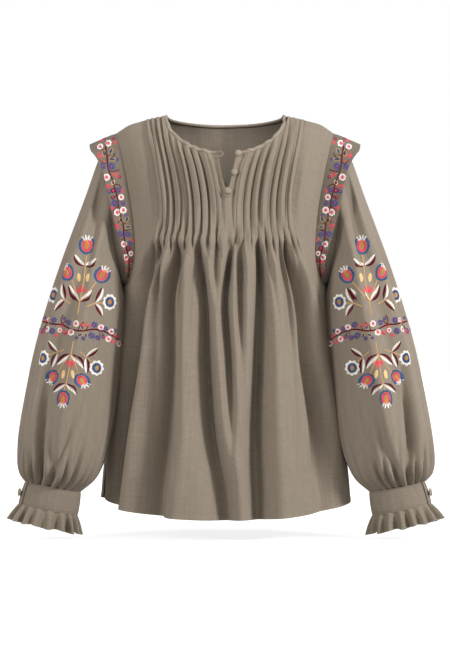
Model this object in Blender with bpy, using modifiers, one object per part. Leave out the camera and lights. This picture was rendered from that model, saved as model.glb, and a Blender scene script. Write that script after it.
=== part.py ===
# Embroidered folk blouse, standing open as if worn, with nobody in it.
# Blender 4.5 script. Units are metres, +Z is up, the front faces -Y, and the origin is
# the middle of the neck at the height of the shoulder seams' inner ends.

from collections import namedtuple
import math

import bmesh
import bpy
import numpy as np
from mathutils import Vector
from mathutils.bvhtree import BVHTree

COLLECTION = "Embroidered blouse"

# Cloth and sewing sizes
CLOTH = 0.0013            # wall of one layer of cloth
SEAM = 0.0003             # gap between two pieces that are sewn together
BAND_CLOTH = 0.0016       # wall of the cuff, which is two layers
ROUNDNESS = 2.2           # exponent of the oval that the body's level sections follow

# Colours of the cloth and of the buttons covered with it
TAUPE = (0.235, 0.205, 0.165, 1.0)
TAUPE_DARK = (0.20, 0.175, 0.14, 1.0)

# Body girth: half width at the side seams, depth of the front and of the back
Girth = namedtuple("Girth", "z half_width front_depth back_depth")
GIRTHS = [
    Girth(0.020, 0.186, 0.066, 0.084),
    Girth(-0.073, 0.182, 0.080, 0.096),
    Girth(-0.120, 0.176, 0.092, 0.104),
    Girth(-0.200, 0.166, 0.108, 0.108),
    Girth(-0.272, 0.160, 0.117, 0.108),
    Girth(-0.310, 0.1605, 0.120, 0.109),
    Girth(-0.360, 0.1645, 0.1235, 0.112),
    Girth(-0.450, 0.1745, 0.128, 0.120),
    Girth(-0.542, 0.1895, 0.133, 0.128),
    Girth(-0.640, 0.198, 0.137, 0.134),
]

# Shoulder seam, from the middle of the neck out to the sleeve
Slope = namedtuple("Slope", "x z")
SHOULDER = [
    Slope(0.000, 0.020),
    Slope(0.060, 0.009),
    Slope(0.098, 0.001),
    Slope(0.137, -0.008),
    Slope(0.156, -0.0144),
    Slope(0.166, -0.021),
    Slope(0.180, -0.031),
]
SHOULDER_ROLL = 0.085     # height over which the cloth turns from the seam to the chest

# Neck hole, to the edge of the cut cloth
NECK_HALF_WIDTH = 0.0983
NECK_FRONT_Z = -0.0670
NECK_BACK_Z = -0.0125
NECK_SQUARENESS = 0.52

# Slit below the neck, at the middle of the front
Slit = namedtuple("Slit", "z half_width")
SLIT = [
    Slit(-0.0550, 0.0165),
    Slit(-0.0680, 0.0141),
    Slit(-0.0950, 0.0084),
    Slit(-0.1155, 0.0038),
    Slit(-0.1220, 0.0016),
    Slit(-0.1500, 0.0012),
    Slit(-0.6400, 0.0012),
]

# Armhole edge of the front and back panels: x of the cut edge at each height
Armhole = namedtuple("Armhole", "z x")
ARMHOLE = [
    Armhole(-0.0265, 0.1735),
    Armhole(-0.060, 0.1655),
    Armhole(-0.100, 0.1575),
    Armhole(-0.140, 0.1500),
    Armhole(-0.180, 0.1440),
    Armhole(-0.215, 0.1405),
    Armhole(-0.238, 0.1425),
    Armhole(-0.255, 0.1480),
    Armhole(-0.266, 0.1545),
    Armhole(-0.272, 0.1600),
]
ARMPIT_Z = ARMHOLE[-1].z

SLIT_BASE_Z = -0.1195
SLIT_SHIFT = 0.0031        # the slit stands a little to one side of the middle

# Pintucks: nine folds a side, stitched down to the bust and then let go
TUCKS = 9
TUCK_HEIGHT = 0.0028
TUCK_END = -0.198
TUCK_FADE = 0.026
TUCK_AT_NECK = 0.5        # share of the height left where the tucks run into the binding
TuckLine = namedtuple("TuckLine", "z inner_x outer_x")
TUCK_LINES = [
    TuckLine(0.010, 0.0450, 0.1290),
    TuckLine(-0.012, 0.0420, 0.1255),
    TuckLine(-0.045, 0.0380, 0.1195),
    TuckLine(-0.085, 0.0245, 0.1125),
    TuckLine(-0.140, 0.0150, 0.1055),
    TuckLine(-0.180, 0.0135, 0.1070),
    TuckLine(-0.200, 0.0130, 0.1105),
    TuckLine(-0.240, 0.0140, 0.1200),
    TuckLine(-0.310, 0.0165, 0.1310),
    TuckLine(-0.450, 0.0200, 0.1480),
    TuckLine(-0.640, 0.0240, 0.1620),
]

# Cloth shares at the hem, from the middle (0) to the side seam (1)
STRIP_SHARE = 0.064
TUCK_SHARE = 0.609

# Gathers just below the tucks, and the folds that they run into at the hem.
# Each row is a crest or a hollow, placed by its share of the half front:
# -1 is the side seam at low x, 0 the middle and 1 the side seam at high x.
Fold = namedtuple("Fold", "share rise")
FRONT_GATHERS = [
    Fold(-1.00, 0.0000), Fold(-0.72, -0.0006), Fold(-0.605, 0.0042), Fold(-0.555, -0.0048),
    Fold(-0.520, 0.0024), Fold(-0.487, -0.0006), Fold(-0.427, 0.0036), Fold(-0.385, -0.0042),
    Fold(-0.350, 0.0030), Fold(-0.305, -0.0012), Fold(-0.255, 0.0036), Fold(-0.215, -0.0036),
    Fold(-0.185, 0.0030), Fold(-0.150, -0.0018), Fold(-0.118, 0.0036), Fold(-0.075, -0.0042),
    Fold(-0.030, 0.0030), Fold(0.005, -0.0018), Fold(0.040, 0.0024), Fold(0.072, -0.0042),
    Fold(0.110, 0.0036), Fold(0.150, -0.0018), Fold(0.185, 0.0030), Fold(0.230, -0.0036),
    Fold(0.270, 0.0024), Fold(0.305, -0.0048), Fold(0.345, 0.0042), Fold(0.400, -0.0012),
    Fold(0.440, 0.0036), Fold(0.487, -0.0042), Fold(0.530, 0.0030), Fold(0.560, -0.0036),
    Fold(0.612, 0.0036), Fold(0.700, -0.0012), Fold(1.00, 0.0000),
]
FRONT_FOLDS = [
    Fold(-1.00, 0.000), Fold(-0.86, 0.003), Fold(-0.655, -0.019), Fold(-0.560, 0.013),
    Fold(-0.440, 0.010), Fold(-0.300, -0.022), Fold(-0.235, 0.015), Fold(-0.130, 0.006),
    Fold(-0.055, -0.017), Fold(0.020, -0.006), Fold(0.062, 0.009), Fold(0.152, -0.020),
    Fold(0.218, 0.016), Fold(0.330, 0.012), Fold(0.455, -0.015), Fold(0.560, 0.005),
    Fold(0.680, -0.004), Fold(0.840, 0.003), Fold(1.00, 0.000),
]
BACK_GATHERS = [
    Fold(-1.00, 0.000), Fold(-0.70, 0.002), Fold(-0.52, -0.003), Fold(-0.36, 0.003),
    Fold(-0.22, -0.003), Fold(-0.08, 0.003), Fold(0.05, -0.003), Fold(0.19, 0.003),
    Fold(0.34, -0.003), Fold(0.50, 0.003), Fold(0.72, -0.002), Fold(1.00, 0.000),
]
BACK_FOLDS = [
    Fold(-1.00, 0.000), Fold(-0.84, 0.007), Fold(-0.66, -0.012), Fold(-0.50, 0.011),
    Fold(-0.30, -0.015), Fold(-0.14, 0.012), Fold(0.04, -0.013), Fold(0.20, 0.014),
    Fold(0.36, -0.012), Fold(0.55, 0.012), Fold(0.72, -0.011), Fold(0.87, 0.006),
    Fold(1.00, 0.000),
]
Swell = namedtuple("Swell", "z gathers folds")
SWELLS = [
    Swell(0.02, 0.0, 0.0),
    Swell(-0.185, 0.0, 0.0),
    Swell(-0.205, 0.45, 0.02),
    Swell(-0.235, 1.0, 0.10),
    Swell(-0.300, 0.85, 0.38),
    Swell(-0.380, 0.45, 0.66),
    Swell(-0.480, 0.15, 0.86),
    Swell(-0.640, 0.0, 1.0),
]

# Hem: higher at the side seams than at the middle
HEM_SIDE_Z = -0.606
HEM_FRONT_DROP = 0.0295
HEM_BACK_DROP = 0.030
HEM_CURVE = 1.18

# Rows of the panels, as shares of each column's length from its top edge to the hem
FRONT_ROWS = [0, 0.040, 0.083, 0.130, 0.175, 0.215, 0.245, 0.275, 0.320, 0.375, 0.425,
              0.500, 0.600, 0.780, 1.0]
BACK_ROWS = [0, 0.045, 0.100, 0.170, 0.250, 0.335, 0.385, 0.425, 0.540, 0.700, 0.850, 1.0]
BACK_SIDE_COLUMNS = 20
ARMPIT_ROW = 0.425        # the row at which both panels' side seams start
FRONT_SIDE_COLUMNS = 6
TUCK_CREST = 0.18         # place of a tuck's crest between its groove and the next
TUCK_BACK = 0.62          # place of the middle of its slope

# Sleeve, by rings from the armhole to the cuff. Outer is the arm's outer side, inner
# the side towards the body, and mid_y and half_depth place the ring from back to front.
Ring = namedtuple("Ring", "outer_x outer_z inner_x inner_z mid_y half_depth head folds gathers")
RINGS = [
    Ring(0.1960, -0.0520, 0.1660, -0.2760, -0.001, 0.054, 1.0, 0.0, 0.0),
    Ring(0.2085, -0.0860, 0.1665, -0.2810, -0.004, 0.056, 1.0, 0.1, 0.0),
    Ring(0.2215, -0.1260, 0.1655, -0.2900, -0.012, 0.059, 0.9, 0.3, 0.0),
    Ring(0.2380, -0.1750, 0.1635, -0.3040, -0.028, 0.063, 0.7, 0.5, 0.0),
    Ring(0.2560, -0.2300, 0.1615, -0.3260, -0.048, 0.066, 0.5, 0.7, 0.0),
    Ring(0.2750, -0.2920, 0.1605, -0.3620, -0.062, 0.066, 0.25, 0.9, 0.05),
    Ring(0.2950, -0.3650, 0.1635, -0.4100, -0.070, 0.066, 0.1, 1.0, 0.15),
    Ring(0.3110, -0.4400, 0.1690, -0.4600, -0.073, 0.066, 0.0, 1.0, 0.35),
    Ring(0.3225, -0.5050, 0.1785, -0.5080, -0.073, 0.064, 0.0, 0.9, 0.65),
    Ring(0.3235, -0.5430, 0.1900, -0.5450, -0.073, 0.057, 0.0, 0.6, 0.90),
    Ring(0.3185, -0.5650, 0.2050, -0.5740, -0.073, 0.043, 0.0, 0.3, 0.85),
    Ring(0.3130, -0.5775, 0.2272, -0.5945, -0.073, 0.0240, 0.0, 0.0, 0.40),
]
SLEEVE_AROUND = 48
CUFF_GATHERS = 16
CUFF_GATHER_RISE = 0.0042
CREST_PLACES = (0.0, 0.30, 0.70)     # hollow, crest, crest: places in one gather
CREST_RISES = (-1.0, 0.55, 0.75)
HEAD_RISE = 0.0035
# Folds down the sleeve, placed round it in turns: 0 outer, 0.25 front, 0.5 inner, 0.75 back
SLEEVE_FOLDS = [
    Fold(0.00, 0.003), Fold(0.055, -0.006), Fold(0.115, 0.005), Fold(0.175, -0.007),
    Fold(0.245, 0.005), Fold(0.335, -0.005), Fold(0.400, 0.002), Fold(0.50, 0.0),
    Fold(0.595, 0.003), Fold(0.665, -0.005), Fold(0.745, 0.005), Fold(0.830, -0.006),
    Fold(0.910, 0.004), Fold(0.965, -0.003), Fold(1.00, 0.003),
]
SLEEVE_HEAD = [
    Fold(0.00, 0.0), Fold(0.06, -0.8), Fold(0.12, 0.6), Fold(0.17, -1.0), Fold(0.23, 0.5),
    Fold(0.29, -0.9), Fold(0.36, 0.2), Fold(0.50, 0.0), Fold(0.64, 0.2), Fold(0.71, -0.8),
    Fold(0.77, 0.6), Fold(0.83, -1.0), Fold(0.88, 0.6), Fold(0.94, -0.8), Fold(1.00, 0.0),
]

# Flange: a folded wing sewn into the armhole seam, from the front over the shoulder to
# the back. Along is 0 at the front end, 0.5 at the shoulder and 1 at the back end.
Wing = namedtuple("Wing", "along width flare")
WINGS = [
    Wing(0.00, 0.0060, 0.10),
    Wing(0.10, 0.0190, 0.40),
    Wing(0.22, 0.0340, 0.55),
    Wing(0.32, 0.0400, 0.45),
    Wing(0.40, 0.0445, 0.06),
    Wing(0.45, 0.0460, -0.26),
    Wing(0.50, 0.0465, -0.42),
    Wing(0.55, 0.0460, -0.26),
    Wing(0.60, 0.0445, 0.06),
    Wing(0.68, 0.0400, 0.45),
    Wing(0.78, 0.0340, 0.55),
    Wing(0.90, 0.0190, 0.40),
    Wing(1.00, 0.0060, 0.10),
]
WING_START = 4            # steps of the armhole left free at its lower end, on each side
WING_ACROSS = 2
WING_SEAM = 0.0005
WING_RISE = 0.10          # least slope at which the wing leaves the sleeve

# Neck binding: a narrow rolled band round the cut edge
BINDING_HEIGHT = 0.0058
BINDING_SEAM = 0.0007
BINDING_THICKNESS = 0.0030
BINDING_SIDES = 8
BINDING_POINTS = 30       # along the front and again along the back, each side

# Cuff and frill: corners of the band seen from the front, then its depth
CUFF_TOP = Ring(0.3142, -0.5782, 0.2261, -0.5953, -0.073, 0.0260, 0, 0, 0)
CUFF_END = Ring(0.3245, -0.6123, 0.2311, -0.6312, -0.073, 0.0270, 0, 0, 0)
FRILL_TOP = Ring(0.3250, -0.6127, 0.2309, -0.6317, -0.073, 0.0272, 0, 0, 0)
FRILL_END = Ring(0.3370, -0.6375, 0.2285, -0.6600, -0.073, 0.0360, 0, 0, 0)
CUFF_LAP = 0.110          # share of a turn by which one end laps over the other
CUFF_LAP_AT = 0.078       # place of the upper end of the lap, in turns from the outer side
CUFF_AROUND = 34
CUFF_BUTTON_AT = 0.032      # place of the cuff button, in turns from the outer side
FRILL_WAVES = 15
FRILL_POINTS = 3
FRILL_RISE = 0.0042
FRILL_GAP = 0.012         # share of a turn left open below the lap

# Buttons, covered with the same cloth, each a dome on a short shank
BUTTON_RADIUS = 0.0050
BUTTON_HEIGHT = 0.0058
CUFF_BUTTON_RADIUS = 0.0062
SHANK_RADIUS = 0.0018
SHANK_HEIGHT = 0.0023
BUTTON_STEPS = 14
Place = namedtuple("Place", "name x z")
NECK_BUTTONS = [
    Place("button_top", 0.0205, -0.0640),
    Place("button_middle", 0.0146, -0.0950),
    Place("button_lower", 0.0045, -0.1245),
]
LOOP_CORD = 0.0008        # radius of the thin rolled cord of the button loops
LOOP_STEPS = 15
LOOP_ROUTES = {           # each loop's way over the front, as places on it
    "loop_top": [
        Place("end", -0.0155, -0.0620), Place("out", -0.0110, -0.0612), Place("out", -0.0060, -0.0612),
        Place("turn", -0.0035, -0.0635), Place("turn", -0.0035, -0.0670),
        Place("back", -0.0060, -0.0692), Place("back", -0.0110, -0.0690), Place("end", -0.0155, -0.0680)],
    "loop_lower": [
        Place("end", -0.0085, -0.1205), Place("out", -0.0080, -0.1255), Place("out", -0.0045, -0.1305),
        Place("turn", 0.0010, -0.1325), Place("turn", 0.0070, -0.1310), Place("turn", 0.0095, -0.1260)],
}


def smooth(table, field, at):
    """Value of one column of a table at heights or places, on a smooth curve through its rows."""
    keys = np.array([row[0] for row in table])
    values = np.array([getattr(row, field) for row in table])
    if keys[0] > keys[-1]:
        keys, values = keys[::-1], values[::-1]
    slopes = np.gradient(values, keys)
    at = np.clip(np.asarray(at, float), keys[0], keys[-1])
    index = np.clip(np.searchsorted(keys, at) - 1, 0, len(keys) - 2)
    width = keys[index + 1] - keys[index]
    t = (at - keys[index]) / width
    return ((2 * t**3 - 3 * t**2 + 1) * values[index]
            + (t**3 - 2 * t**2 + t) * width * slopes[index]
            + (-2 * t**3 + 3 * t**2) * values[index + 1]
            + (t**3 - t**2) * width * slopes[index + 1])


def rise(table, at):
    """Height of a row of folds: a cosine from each crest or hollow to the next."""
    keys = np.array([row.share for row in table])
    values = np.array([row.rise for row in table])
    index = np.clip(np.searchsorted(keys, at) - 1, 0, len(keys) - 2)
    t = np.clip((at - keys[index]) / (keys[index + 1] - keys[index]), 0, 1)
    blend = (1 - np.cos(math.pi * t)) / 2
    return values[index] * (1 - blend) + values[index + 1] * blend


def turn_at(x, half_width):
    """Share of the quarter turn, 0 at the middle and 1 at the side seam, at which the oval has this x."""
    ratio = np.clip(x / half_width, 0, 1)
    return np.arcsin(ratio ** (ROUNDNESS / 2)) * 2 / math.pi


def x_of_column(share, z):
    """Half-front x of a lengthwise thread, given its share at the hem."""
    half_width = smooth(GIRTHS, "half_width", z)
    edge_x = np.where(z > ARMPIT_Z, smooth(ARMHOLE, "x", z), half_width)
    turns = [turn_at(x, half_width) for x in (
        smooth(SLIT, "half_width", z),
        smooth(TUCK_LINES, "inner_x", z),
        smooth(TUCK_LINES, "outer_x", z),
        np.minimum(edge_x, half_width),
    )]
    shares = [0.0, STRIP_SHARE, TUCK_SHARE, 1.0]
    turn = np.full(np.shape(share), 0.0)
    for k in range(3):
        part = (share - shares[k]) / (shares[k + 1] - shares[k])
        inside = (share >= shares[k]) & (share <= shares[k + 1])
        turn = np.where(inside, turns[k] + part * (turns[k + 1] - turns[k]), turn)
    return half_width * np.sin(turn * math.pi / 2) ** (2 / ROUNDNESS)


def x_of_back_column(share, z):
    """The same for the back, which is plain, so its threads stay evenly spread."""
    half_width = smooth(GIRTHS, "half_width", z)
    edge_x = np.where(z > ARMPIT_Z, smooth(ARMHOLE, "x", z), half_width)
    turn = turn_at(np.minimum(edge_x, half_width), half_width) * share
    return half_width * np.sin(turn * math.pi / 2) ** (2 / ROUNDNESS)


def top_edge(x, neck_z):
    """Height of the cut top edge: the neck hole, then the shoulder seam."""
    seam_z = smooth(SHOULDER, "z", x)
    inner_z = smooth(SHOULDER, "z", NECK_HALF_WIDTH)
    ratio = np.clip(x / NECK_HALF_WIDTH, 0, 1)
    hole_z = inner_z + (neck_z - inner_z) * (1 - ratio**2) ** NECK_SQUARENESS
    return np.where(x < NECK_HALF_WIDTH, hole_z, seam_z)


def depth(x, z, field):
    """Distance of the body's surface in front of, or behind, the side seams."""
    half_width = smooth(GIRTHS, "half_width", z)
    oval = (1 - np.clip(x / half_width, 0, 1) ** ROUNDNESS) ** (1 / ROUNDNESS)
    below = np.clip((smooth(SHOULDER, "z", x) - z) / SHOULDER_ROLL, 0, 1)
    return smooth(GIRTHS, field, z) * oval * np.sqrt(1 - (1 - below) ** 2)


def tuck_rise(share, z, top_z):
    """Height of the pintucks, which turn out towards the sleeves, and of the strip between them."""
    place = (TUCK_SHARE - share) / (TUCK_SHARE - STRIP_SHARE) * TUCKS
    part = place - np.floor(place)
    tuck = np.where(part < TUCK_CREST, part / TUCK_CREST,
                    1 - 0.9 * (part - TUCK_CREST) / (1 - TUCK_CREST))
    strip_edge = STRIP_SHARE - TUCK_CREST * (TUCK_SHARE - STRIP_SHARE) / TUCKS
    strip = np.clip((STRIP_SHARE - share) / (STRIP_SHARE - strip_edge), 0, 1)
    height = np.where(share <= STRIP_SHARE, strip, tuck)
    height = np.where(share > TUCK_SHARE - 1e-6, 0, height)
    let_go = np.clip((z - (TUCK_END - TUCK_FADE)) / TUCK_FADE, 0, 1)
    at_neck = TUCK_AT_NECK + (1 - TUCK_AT_NECK) * np.clip((top_z - z) / 0.02, 0, 1)
    return TUCK_HEIGHT * height * let_go * at_neck


def unit(vector):
    return vector / np.maximum(np.linalg.norm(vector, axis=-1, keepdims=True), 1e-12)


def surface_normals(points, wrap=False):
    """Unit normals of a grid of points, rows down and columns across, halfway between its cells'."""
    if wrap:
        points = np.concatenate([points[:, -1:], points, points[:, :1]], axis=1)
    cells = unit(np.cross(points[1:, :-1] - points[:-1, 1:], points[1:, 1:] - points[:-1, :-1]))
    cells = np.pad(cells, ((1, 1), (1, 1), (0, 0)), mode="edge")
    normal = unit(cells[:-1, :-1] + cells[:-1, 1:] + cells[1:, :-1] + cells[1:, 1:])
    return normal[:, 1:-1] if wrap else normal


def panel_grid(shares, rows, is_front):
    """Outer and inner points of the front or the back, and the way out at each."""
    sign = np.where(np.signbit(shares), -1.0, 1.0)
    half = np.abs(shares)
    column = x_of_column if is_front else x_of_back_column
    neck_z = NECK_FRONT_Z if is_front else NECK_BACK_Z
    field = "front_depth" if is_front else "back_depth"
    high, low = np.full(half.shape, 0.02), np.full(half.shape, -0.10)
    for _ in range(50):
        middle = (high + low) / 2
        above = middle > top_edge(column(half, middle), neck_z)
        high, low = np.where(above, middle, high), np.where(above, low, middle)
    top_z = (high + low) / 2
    drop = HEM_FRONT_DROP if is_front else HEM_BACK_DROP
    hem_z = HEM_SIDE_Z - drop * np.cos(half * math.pi / 2) ** HEM_CURVE
    z = top_z + np.asarray(rows)[:, None] * (hem_z - top_z)
    top_z = np.broadcast_to(top_z, z.shape)
    half = np.broadcast_to(half, z.shape)
    x = column(half, z)
    y = depth(x, z, field) + SEAM / 2
    side = -1 if is_front else 1
    plain = np.stack([x * sign, y * side, z], axis=2)
    if is_front:
        plain[:, :, 0] += SLIT_SHIFT * (1 - half) ** 2
    facing = np.sign(shares[-1] - shares[0]) * -side
    normal = surface_normals(plain) * facing
    # The seam rows and columns keep their cut edges square to the seam.
    seam_row = np.abs(plain[:, :, 1]) < SEAM
    normal[:, :, 1] = np.where(seam_row, 0, normal[:, :, 1])
    normal = unit(normal)
    signed = np.broadcast_to(shares, z.shape)
    gathers, folds = (FRONT_GATHERS, FRONT_FOLDS) if is_front else (BACK_GATHERS, BACK_FOLDS)
    height = (rise(gathers, signed) * smooth(SWELLS, "gathers", z)
              + rise(folds, signed) * smooth(SWELLS, "folds", z))
    base = plain + normal * height[:, :, None]
    normal = surface_normals(base) * facing
    normal[:, :, 1] = np.where(seam_row, 0, normal[:, :, 1])
    normal = unit(normal)
    inner = base - normal * CLOTH
    # A stitched tuck folds outwards only, so the cloth's inner side stays flat under it.
    tucks = tuck_rise(half, z, top_z) if is_front else np.zeros(z.shape)
    return base + normal * tucks[:, :, None], inner, normal


def front_side_shares():
    """Places of the columns of one half of the front: the middle strip, three for each tuck,
    and a few out to the side."""
    pitch = (TUCK_SHARE - STRIP_SHARE) / TUCKS
    strip_edge = STRIP_SHARE - TUCK_CREST * pitch
    shares = [0.0, strip_edge * 0.55, strip_edge]
    for tuck in range(TUCKS):
        groove = STRIP_SHARE + tuck * pitch
        shares += [groove, groove + (1 - TUCK_BACK) * pitch, groove + (1 - TUCK_CREST) * pitch]
    sides = np.linspace(TUCK_SHARE, 1, FRONT_SIDE_COLUMNS + 1)
    return np.array(shares + list(sides))


FRONT_SIDE_SHARES = front_side_shares()
FRONT_SHARES = np.concatenate([-FRONT_SIDE_SHARES[::-1], FRONT_SIDE_SHARES])
BACK_SHARES = np.linspace(0, 1, BACK_SIDE_COLUMNS + 1)


def make_mesh(name, points, faces, material):
    """A mesh object whose faces all point out, in the blouse's collection."""
    mesh = bpy.data.meshes.new(name)
    mesh.from_pydata([tuple(p) for p in points], [], faces)
    work = bmesh.new()
    work.from_mesh(mesh)
    bmesh.ops.recalc_face_normals(work, faces=work.faces)
    if work.calc_volume(signed=True) < 0:
        bmesh.ops.reverse_faces(work, faces=work.faces)
    work.to_mesh(mesh)
    work.free()
    mesh.shade_smooth()
    mesh.set_sharp_from_angle(angle=math.radians(40))
    mesh.materials.append(material)
    made = bpy.data.objects.new(name, mesh)
    bpy.data.collections[COLLECTION].objects.link(made)
    return made


def shell(name, outer, inner, material, wrap=False, open_cells=None):
    """A closed wall between two grids of points, with a rim wherever a cell has no neighbour."""
    rows, columns = outer.shape[:2]
    cells = columns if wrap else columns - 1
    present = np.ones((rows - 1, cells), bool)
    if open_cells is not None:
        present[open_cells] = False
    layer = rows * columns

    def at(row, column, side):
        return side * layer + row * columns + column % columns

    faces = []
    for row in range(rows - 1):
        for column in range(cells):
            if not present[row, column]:
                continue
            corners = [(row, column), (row, column + 1), (row + 1, column + 1), (row + 1, column)]
            a, b, c, d = [outer[r, k % columns] for r, k in corners]
            # Both sides of the wall are cut along the same diagonal, the shorter one.
            turn = 0 if np.linalg.norm(a - c) <= np.linalg.norm(b - d) else 1
            cut = corners[turn:] + corners[:turn]
            for triangle in ((cut[0], cut[1], cut[2]), (cut[0], cut[2], cut[3])):
                faces.append([at(r, k, 0) for r, k in triangle])
                faces.append([at(r, k, 1) for r, k in reversed(triangle)])
            left, right = column - 1, column + 1
            if wrap:
                left, right = left % cells, right % cells
            beside = [(row - 1, column), (row, right), (row + 1, column), (row, left)]
            for (r, c), a, b in zip(beside, corners, corners[1:] + corners[:1]):
                if 0 <= r < rows - 1 and 0 <= c < cells and present[r, c]:
                    continue
                faces.append([at(*a, 0), at(*a, 1), at(*b, 1), at(*b, 0)])
    points = np.concatenate([outer.reshape(-1, 3), inner.reshape(-1, 3)])
    return make_mesh(name, points, faces, material)


def make_material(name, colour, roughness=0.85):
    material = bpy.data.materials.new(name)
    material.use_nodes = True
    shader = material.node_tree.nodes["Principled BSDF"]
    shader.inputs["Base Color"].default_value = colour
    shader.inputs["Roughness"].default_value = roughness
    shader.inputs["Metallic"].default_value = 0.0
    return material


def along(path, count):
    """Rows spread evenly along a path, whose first three columns are its points."""
    steps = np.linalg.norm(np.diff(path[:, :3], axis=0), axis=1)
    length = np.concatenate([[0], np.cumsum(steps)])
    wanted = np.linspace(0, length[-1], count)
    return np.stack([np.interp(wanted, length, path[:, k]) for k in range(path.shape[1])], axis=1)


def armhole_edge(side, is_front):
    """Cut armhole edge of one panel, from the shoulder to the armpit, with its wall's direction."""
    shares = FRONT_SIDE_SHARES if is_front else BACK_SHARES
    rows = FRONT_ROWS if is_front else BACK_ROWS
    outer, _, normal = panel_grid(shares * side, rows, is_front)
    keep = rows.index(ARMPIT_ROW) + 1
    return np.hstack([outer[:keep, -1], normal[:keep, -1]])


def split(path, count):
    """The same path with points added between its own, up to a number of steps."""
    steps = np.linalg.norm(np.diff(path[:, :3], axis=0), axis=1)
    ends = np.round(np.concatenate([[0], np.cumsum(steps)]) / steps.sum() * count).astype(int)
    return np.stack([np.interp(np.arange(count + 1), ends, path[:, k]) for k in range(6)], axis=1)


def armhole_loop(side, count):
    """Armhole seam of one sleeve in turns: shoulder, down the front, armpit, up the back."""
    down = split(armhole_edge(side, True), count // 2)
    up = split(armhole_edge(side, False), count // 2)[::-1]
    loop = np.vstack([down[:-1], up[:-1]])
    loop[[0, count // 2], 1] = 0
    return loop[:, :3], loop[:, 3:]


def ring_points(ring, turns, side, bulge=0.0):
    """Points round one ring of a sleeve or cuff; bulge moves each point straight out."""
    outer = np.array([ring.outer_x * side, 0, ring.outer_z])
    inner = np.array([ring.inner_x * side, 0, ring.inner_z])
    centre = (outer + inner) / 2 + np.array([0, ring.mid_y, 0])
    reach = (outer - inner) / 2
    ahead = np.array([0, -ring.half_depth, 0])
    angle = turns * 2 * math.pi
    cos, sin = np.cos(angle)[:, None], np.sin(angle)[:, None]
    out = unit(reach * cos / (reach @ reach) + ahead * sin / (ahead @ ahead))
    return centre + reach * cos + ahead * sin + out * np.reshape(bulge, (-1, 1)), out


def sleeve_turns():
    """Places round the sleeve: three for each gather at the cuff, a hollow and two crests."""
    return np.array([(gather + place) / CUFF_GATHERS
                     for gather in range(CUFF_GATHERS) for place in CREST_PLACES])


def sleeve_surface(side):
    """Outer points and normals of a sleeve, and at the seam the panel's normal and the way on."""
    turns = sleeve_turns()
    gather = np.tile(CREST_RISES, CUFF_GATHERS) * CUFF_GATHER_RISE
    seam, seam_normal = armhole_loop(side, len(turns))
    ahead = np.roll(seam, -1, axis=0) - np.roll(seam, 1, axis=0)
    out = unit(np.cross(seam_normal, ahead)) * side
    # Close to the body the folds flatten out, so the sleeve stays clear of the side seam.
    free = np.clip(1 - np.cos((turns - 0.5) * 2 * math.pi) * 1.4, 0, 1)
    rings = [seam + out * SEAM]
    for ring in RINGS:
        bulge = (rise(SLEEVE_HEAD, turns) * HEAD_RISE * ring.head
                 + rise(SLEEVE_FOLDS, turns) * ring.folds) * free
        bulge = bulge + gather * ring.gathers * (0.4 + 0.6 * free)
        rings.append(ring_points(ring, turns, side, bulge)[0])
    outer = np.array(rings)
    normal = surface_normals(outer, wrap=True)
    normal *= np.sign(np.sum(normal[0] * seam_normal))
    return outer, normal, seam_normal, out


def sleeve(name, side, material):
    outer, normal, _, out = sleeve_surface(side)
    # At the seam the wall keeps to its own side of the panel's cut edge.
    towards = np.clip(np.sum(normal[0] * out, axis=1, keepdims=True), 0, None)
    normal[0] = unit(normal[0] - out * towards)
    return shell(name, outer, outer - normal * CLOTH, material, wrap=True)


def flange(name, side, material):
    """The embroidered wing: starts just outside the armhole seam and stands over the sleeve."""
    outer, normal, seam_normal, _ = sleeve_surface(side)
    # Round the seam from low on the front, over the shoulder, to low on the back.
    half = len(seam_normal) // 2 - WING_START
    order = np.arange(half, -half - 1, -1)
    seam = outer[0, order]
    lift = unit(unit(normal[0, order]) + seam_normal[order])
    steps = np.concatenate([[0], np.cumsum(np.linalg.norm(np.diff(seam, axis=0), axis=1))])
    place = steps / steps[-1]
    width = smooth(WINGS, "width", place)[:, None]
    flare = smooth(WINGS, "flare", place)[:, None]
    radial = seam - np.array([0, 0, (seam[:, 2].max() + seam[:, 2].min()) / 2])
    radial[:, 0] = 0
    reach = unit(np.array([side, 0.0, 0.0]) + unit(radial) * flare)
    off_sleeve = np.sum(reach * normal[0, order], axis=1, keepdims=True)
    reach = unit(reach + normal[0, order] * np.clip(WING_RISE - off_sleeve, 0, None))
    grid = np.array([seam + lift * (WING_SEAM + CLOTH) + reach * width * across / WING_ACROSS
                     for across in range(WING_ACROSS + 1)])
    wall = surface_normals(grid)
    wall *= np.sign(np.sum(wall * lift[None]))
    wall[0] = lift
    return shell(name, grid, grid - wall * CLOTH, material)


def swept_band(name, path, outward, upward, half_thick, half_high, sides, material):
    """A band with a rounded section, swept along a path and closed at both ends."""
    angle = np.arange(sides) * 2 * math.pi / sides
    rings = np.array([path + outward * half_thick * math.cos(a) + upward * half_high * math.sin(a)
                      for a in angle])
    rings = np.swapaxes(rings, 0, 1)
    count = len(path)
    faces = [[i * sides + k, i * sides + (k + 1) % sides,
              (i + 1) * sides + (k + 1) % sides, (i + 1) * sides + k]
             for i in range(count - 1) for k in range(sides)]
    faces.append(list(range(sides)))
    faces.append([(count - 1) * sides + k for k in reversed(range(sides))])
    return make_mesh(name, rings.reshape(-1, 3), faces, material)


def neck_edge(is_front, side):
    """Cut edge of the neck hole and its way out, from the middle to the shoulder."""
    shares = np.linspace(0, 1, 300)
    rows = (FRONT_ROWS if is_front else BACK_ROWS)[:2]
    outer, _, normal = panel_grid(shares * side, rows, is_front)
    raised = tuck_rise(shares, outer[0, :, 2], outer[0, :, 2]) if is_front else 0 * shares
    edge = outer[0] - normal[0] * raised[:, None]
    keep = np.abs(edge[:, 0]) < NECK_HALF_WIDTH
    return np.hstack([edge, normal[0]])[keep]


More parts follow.
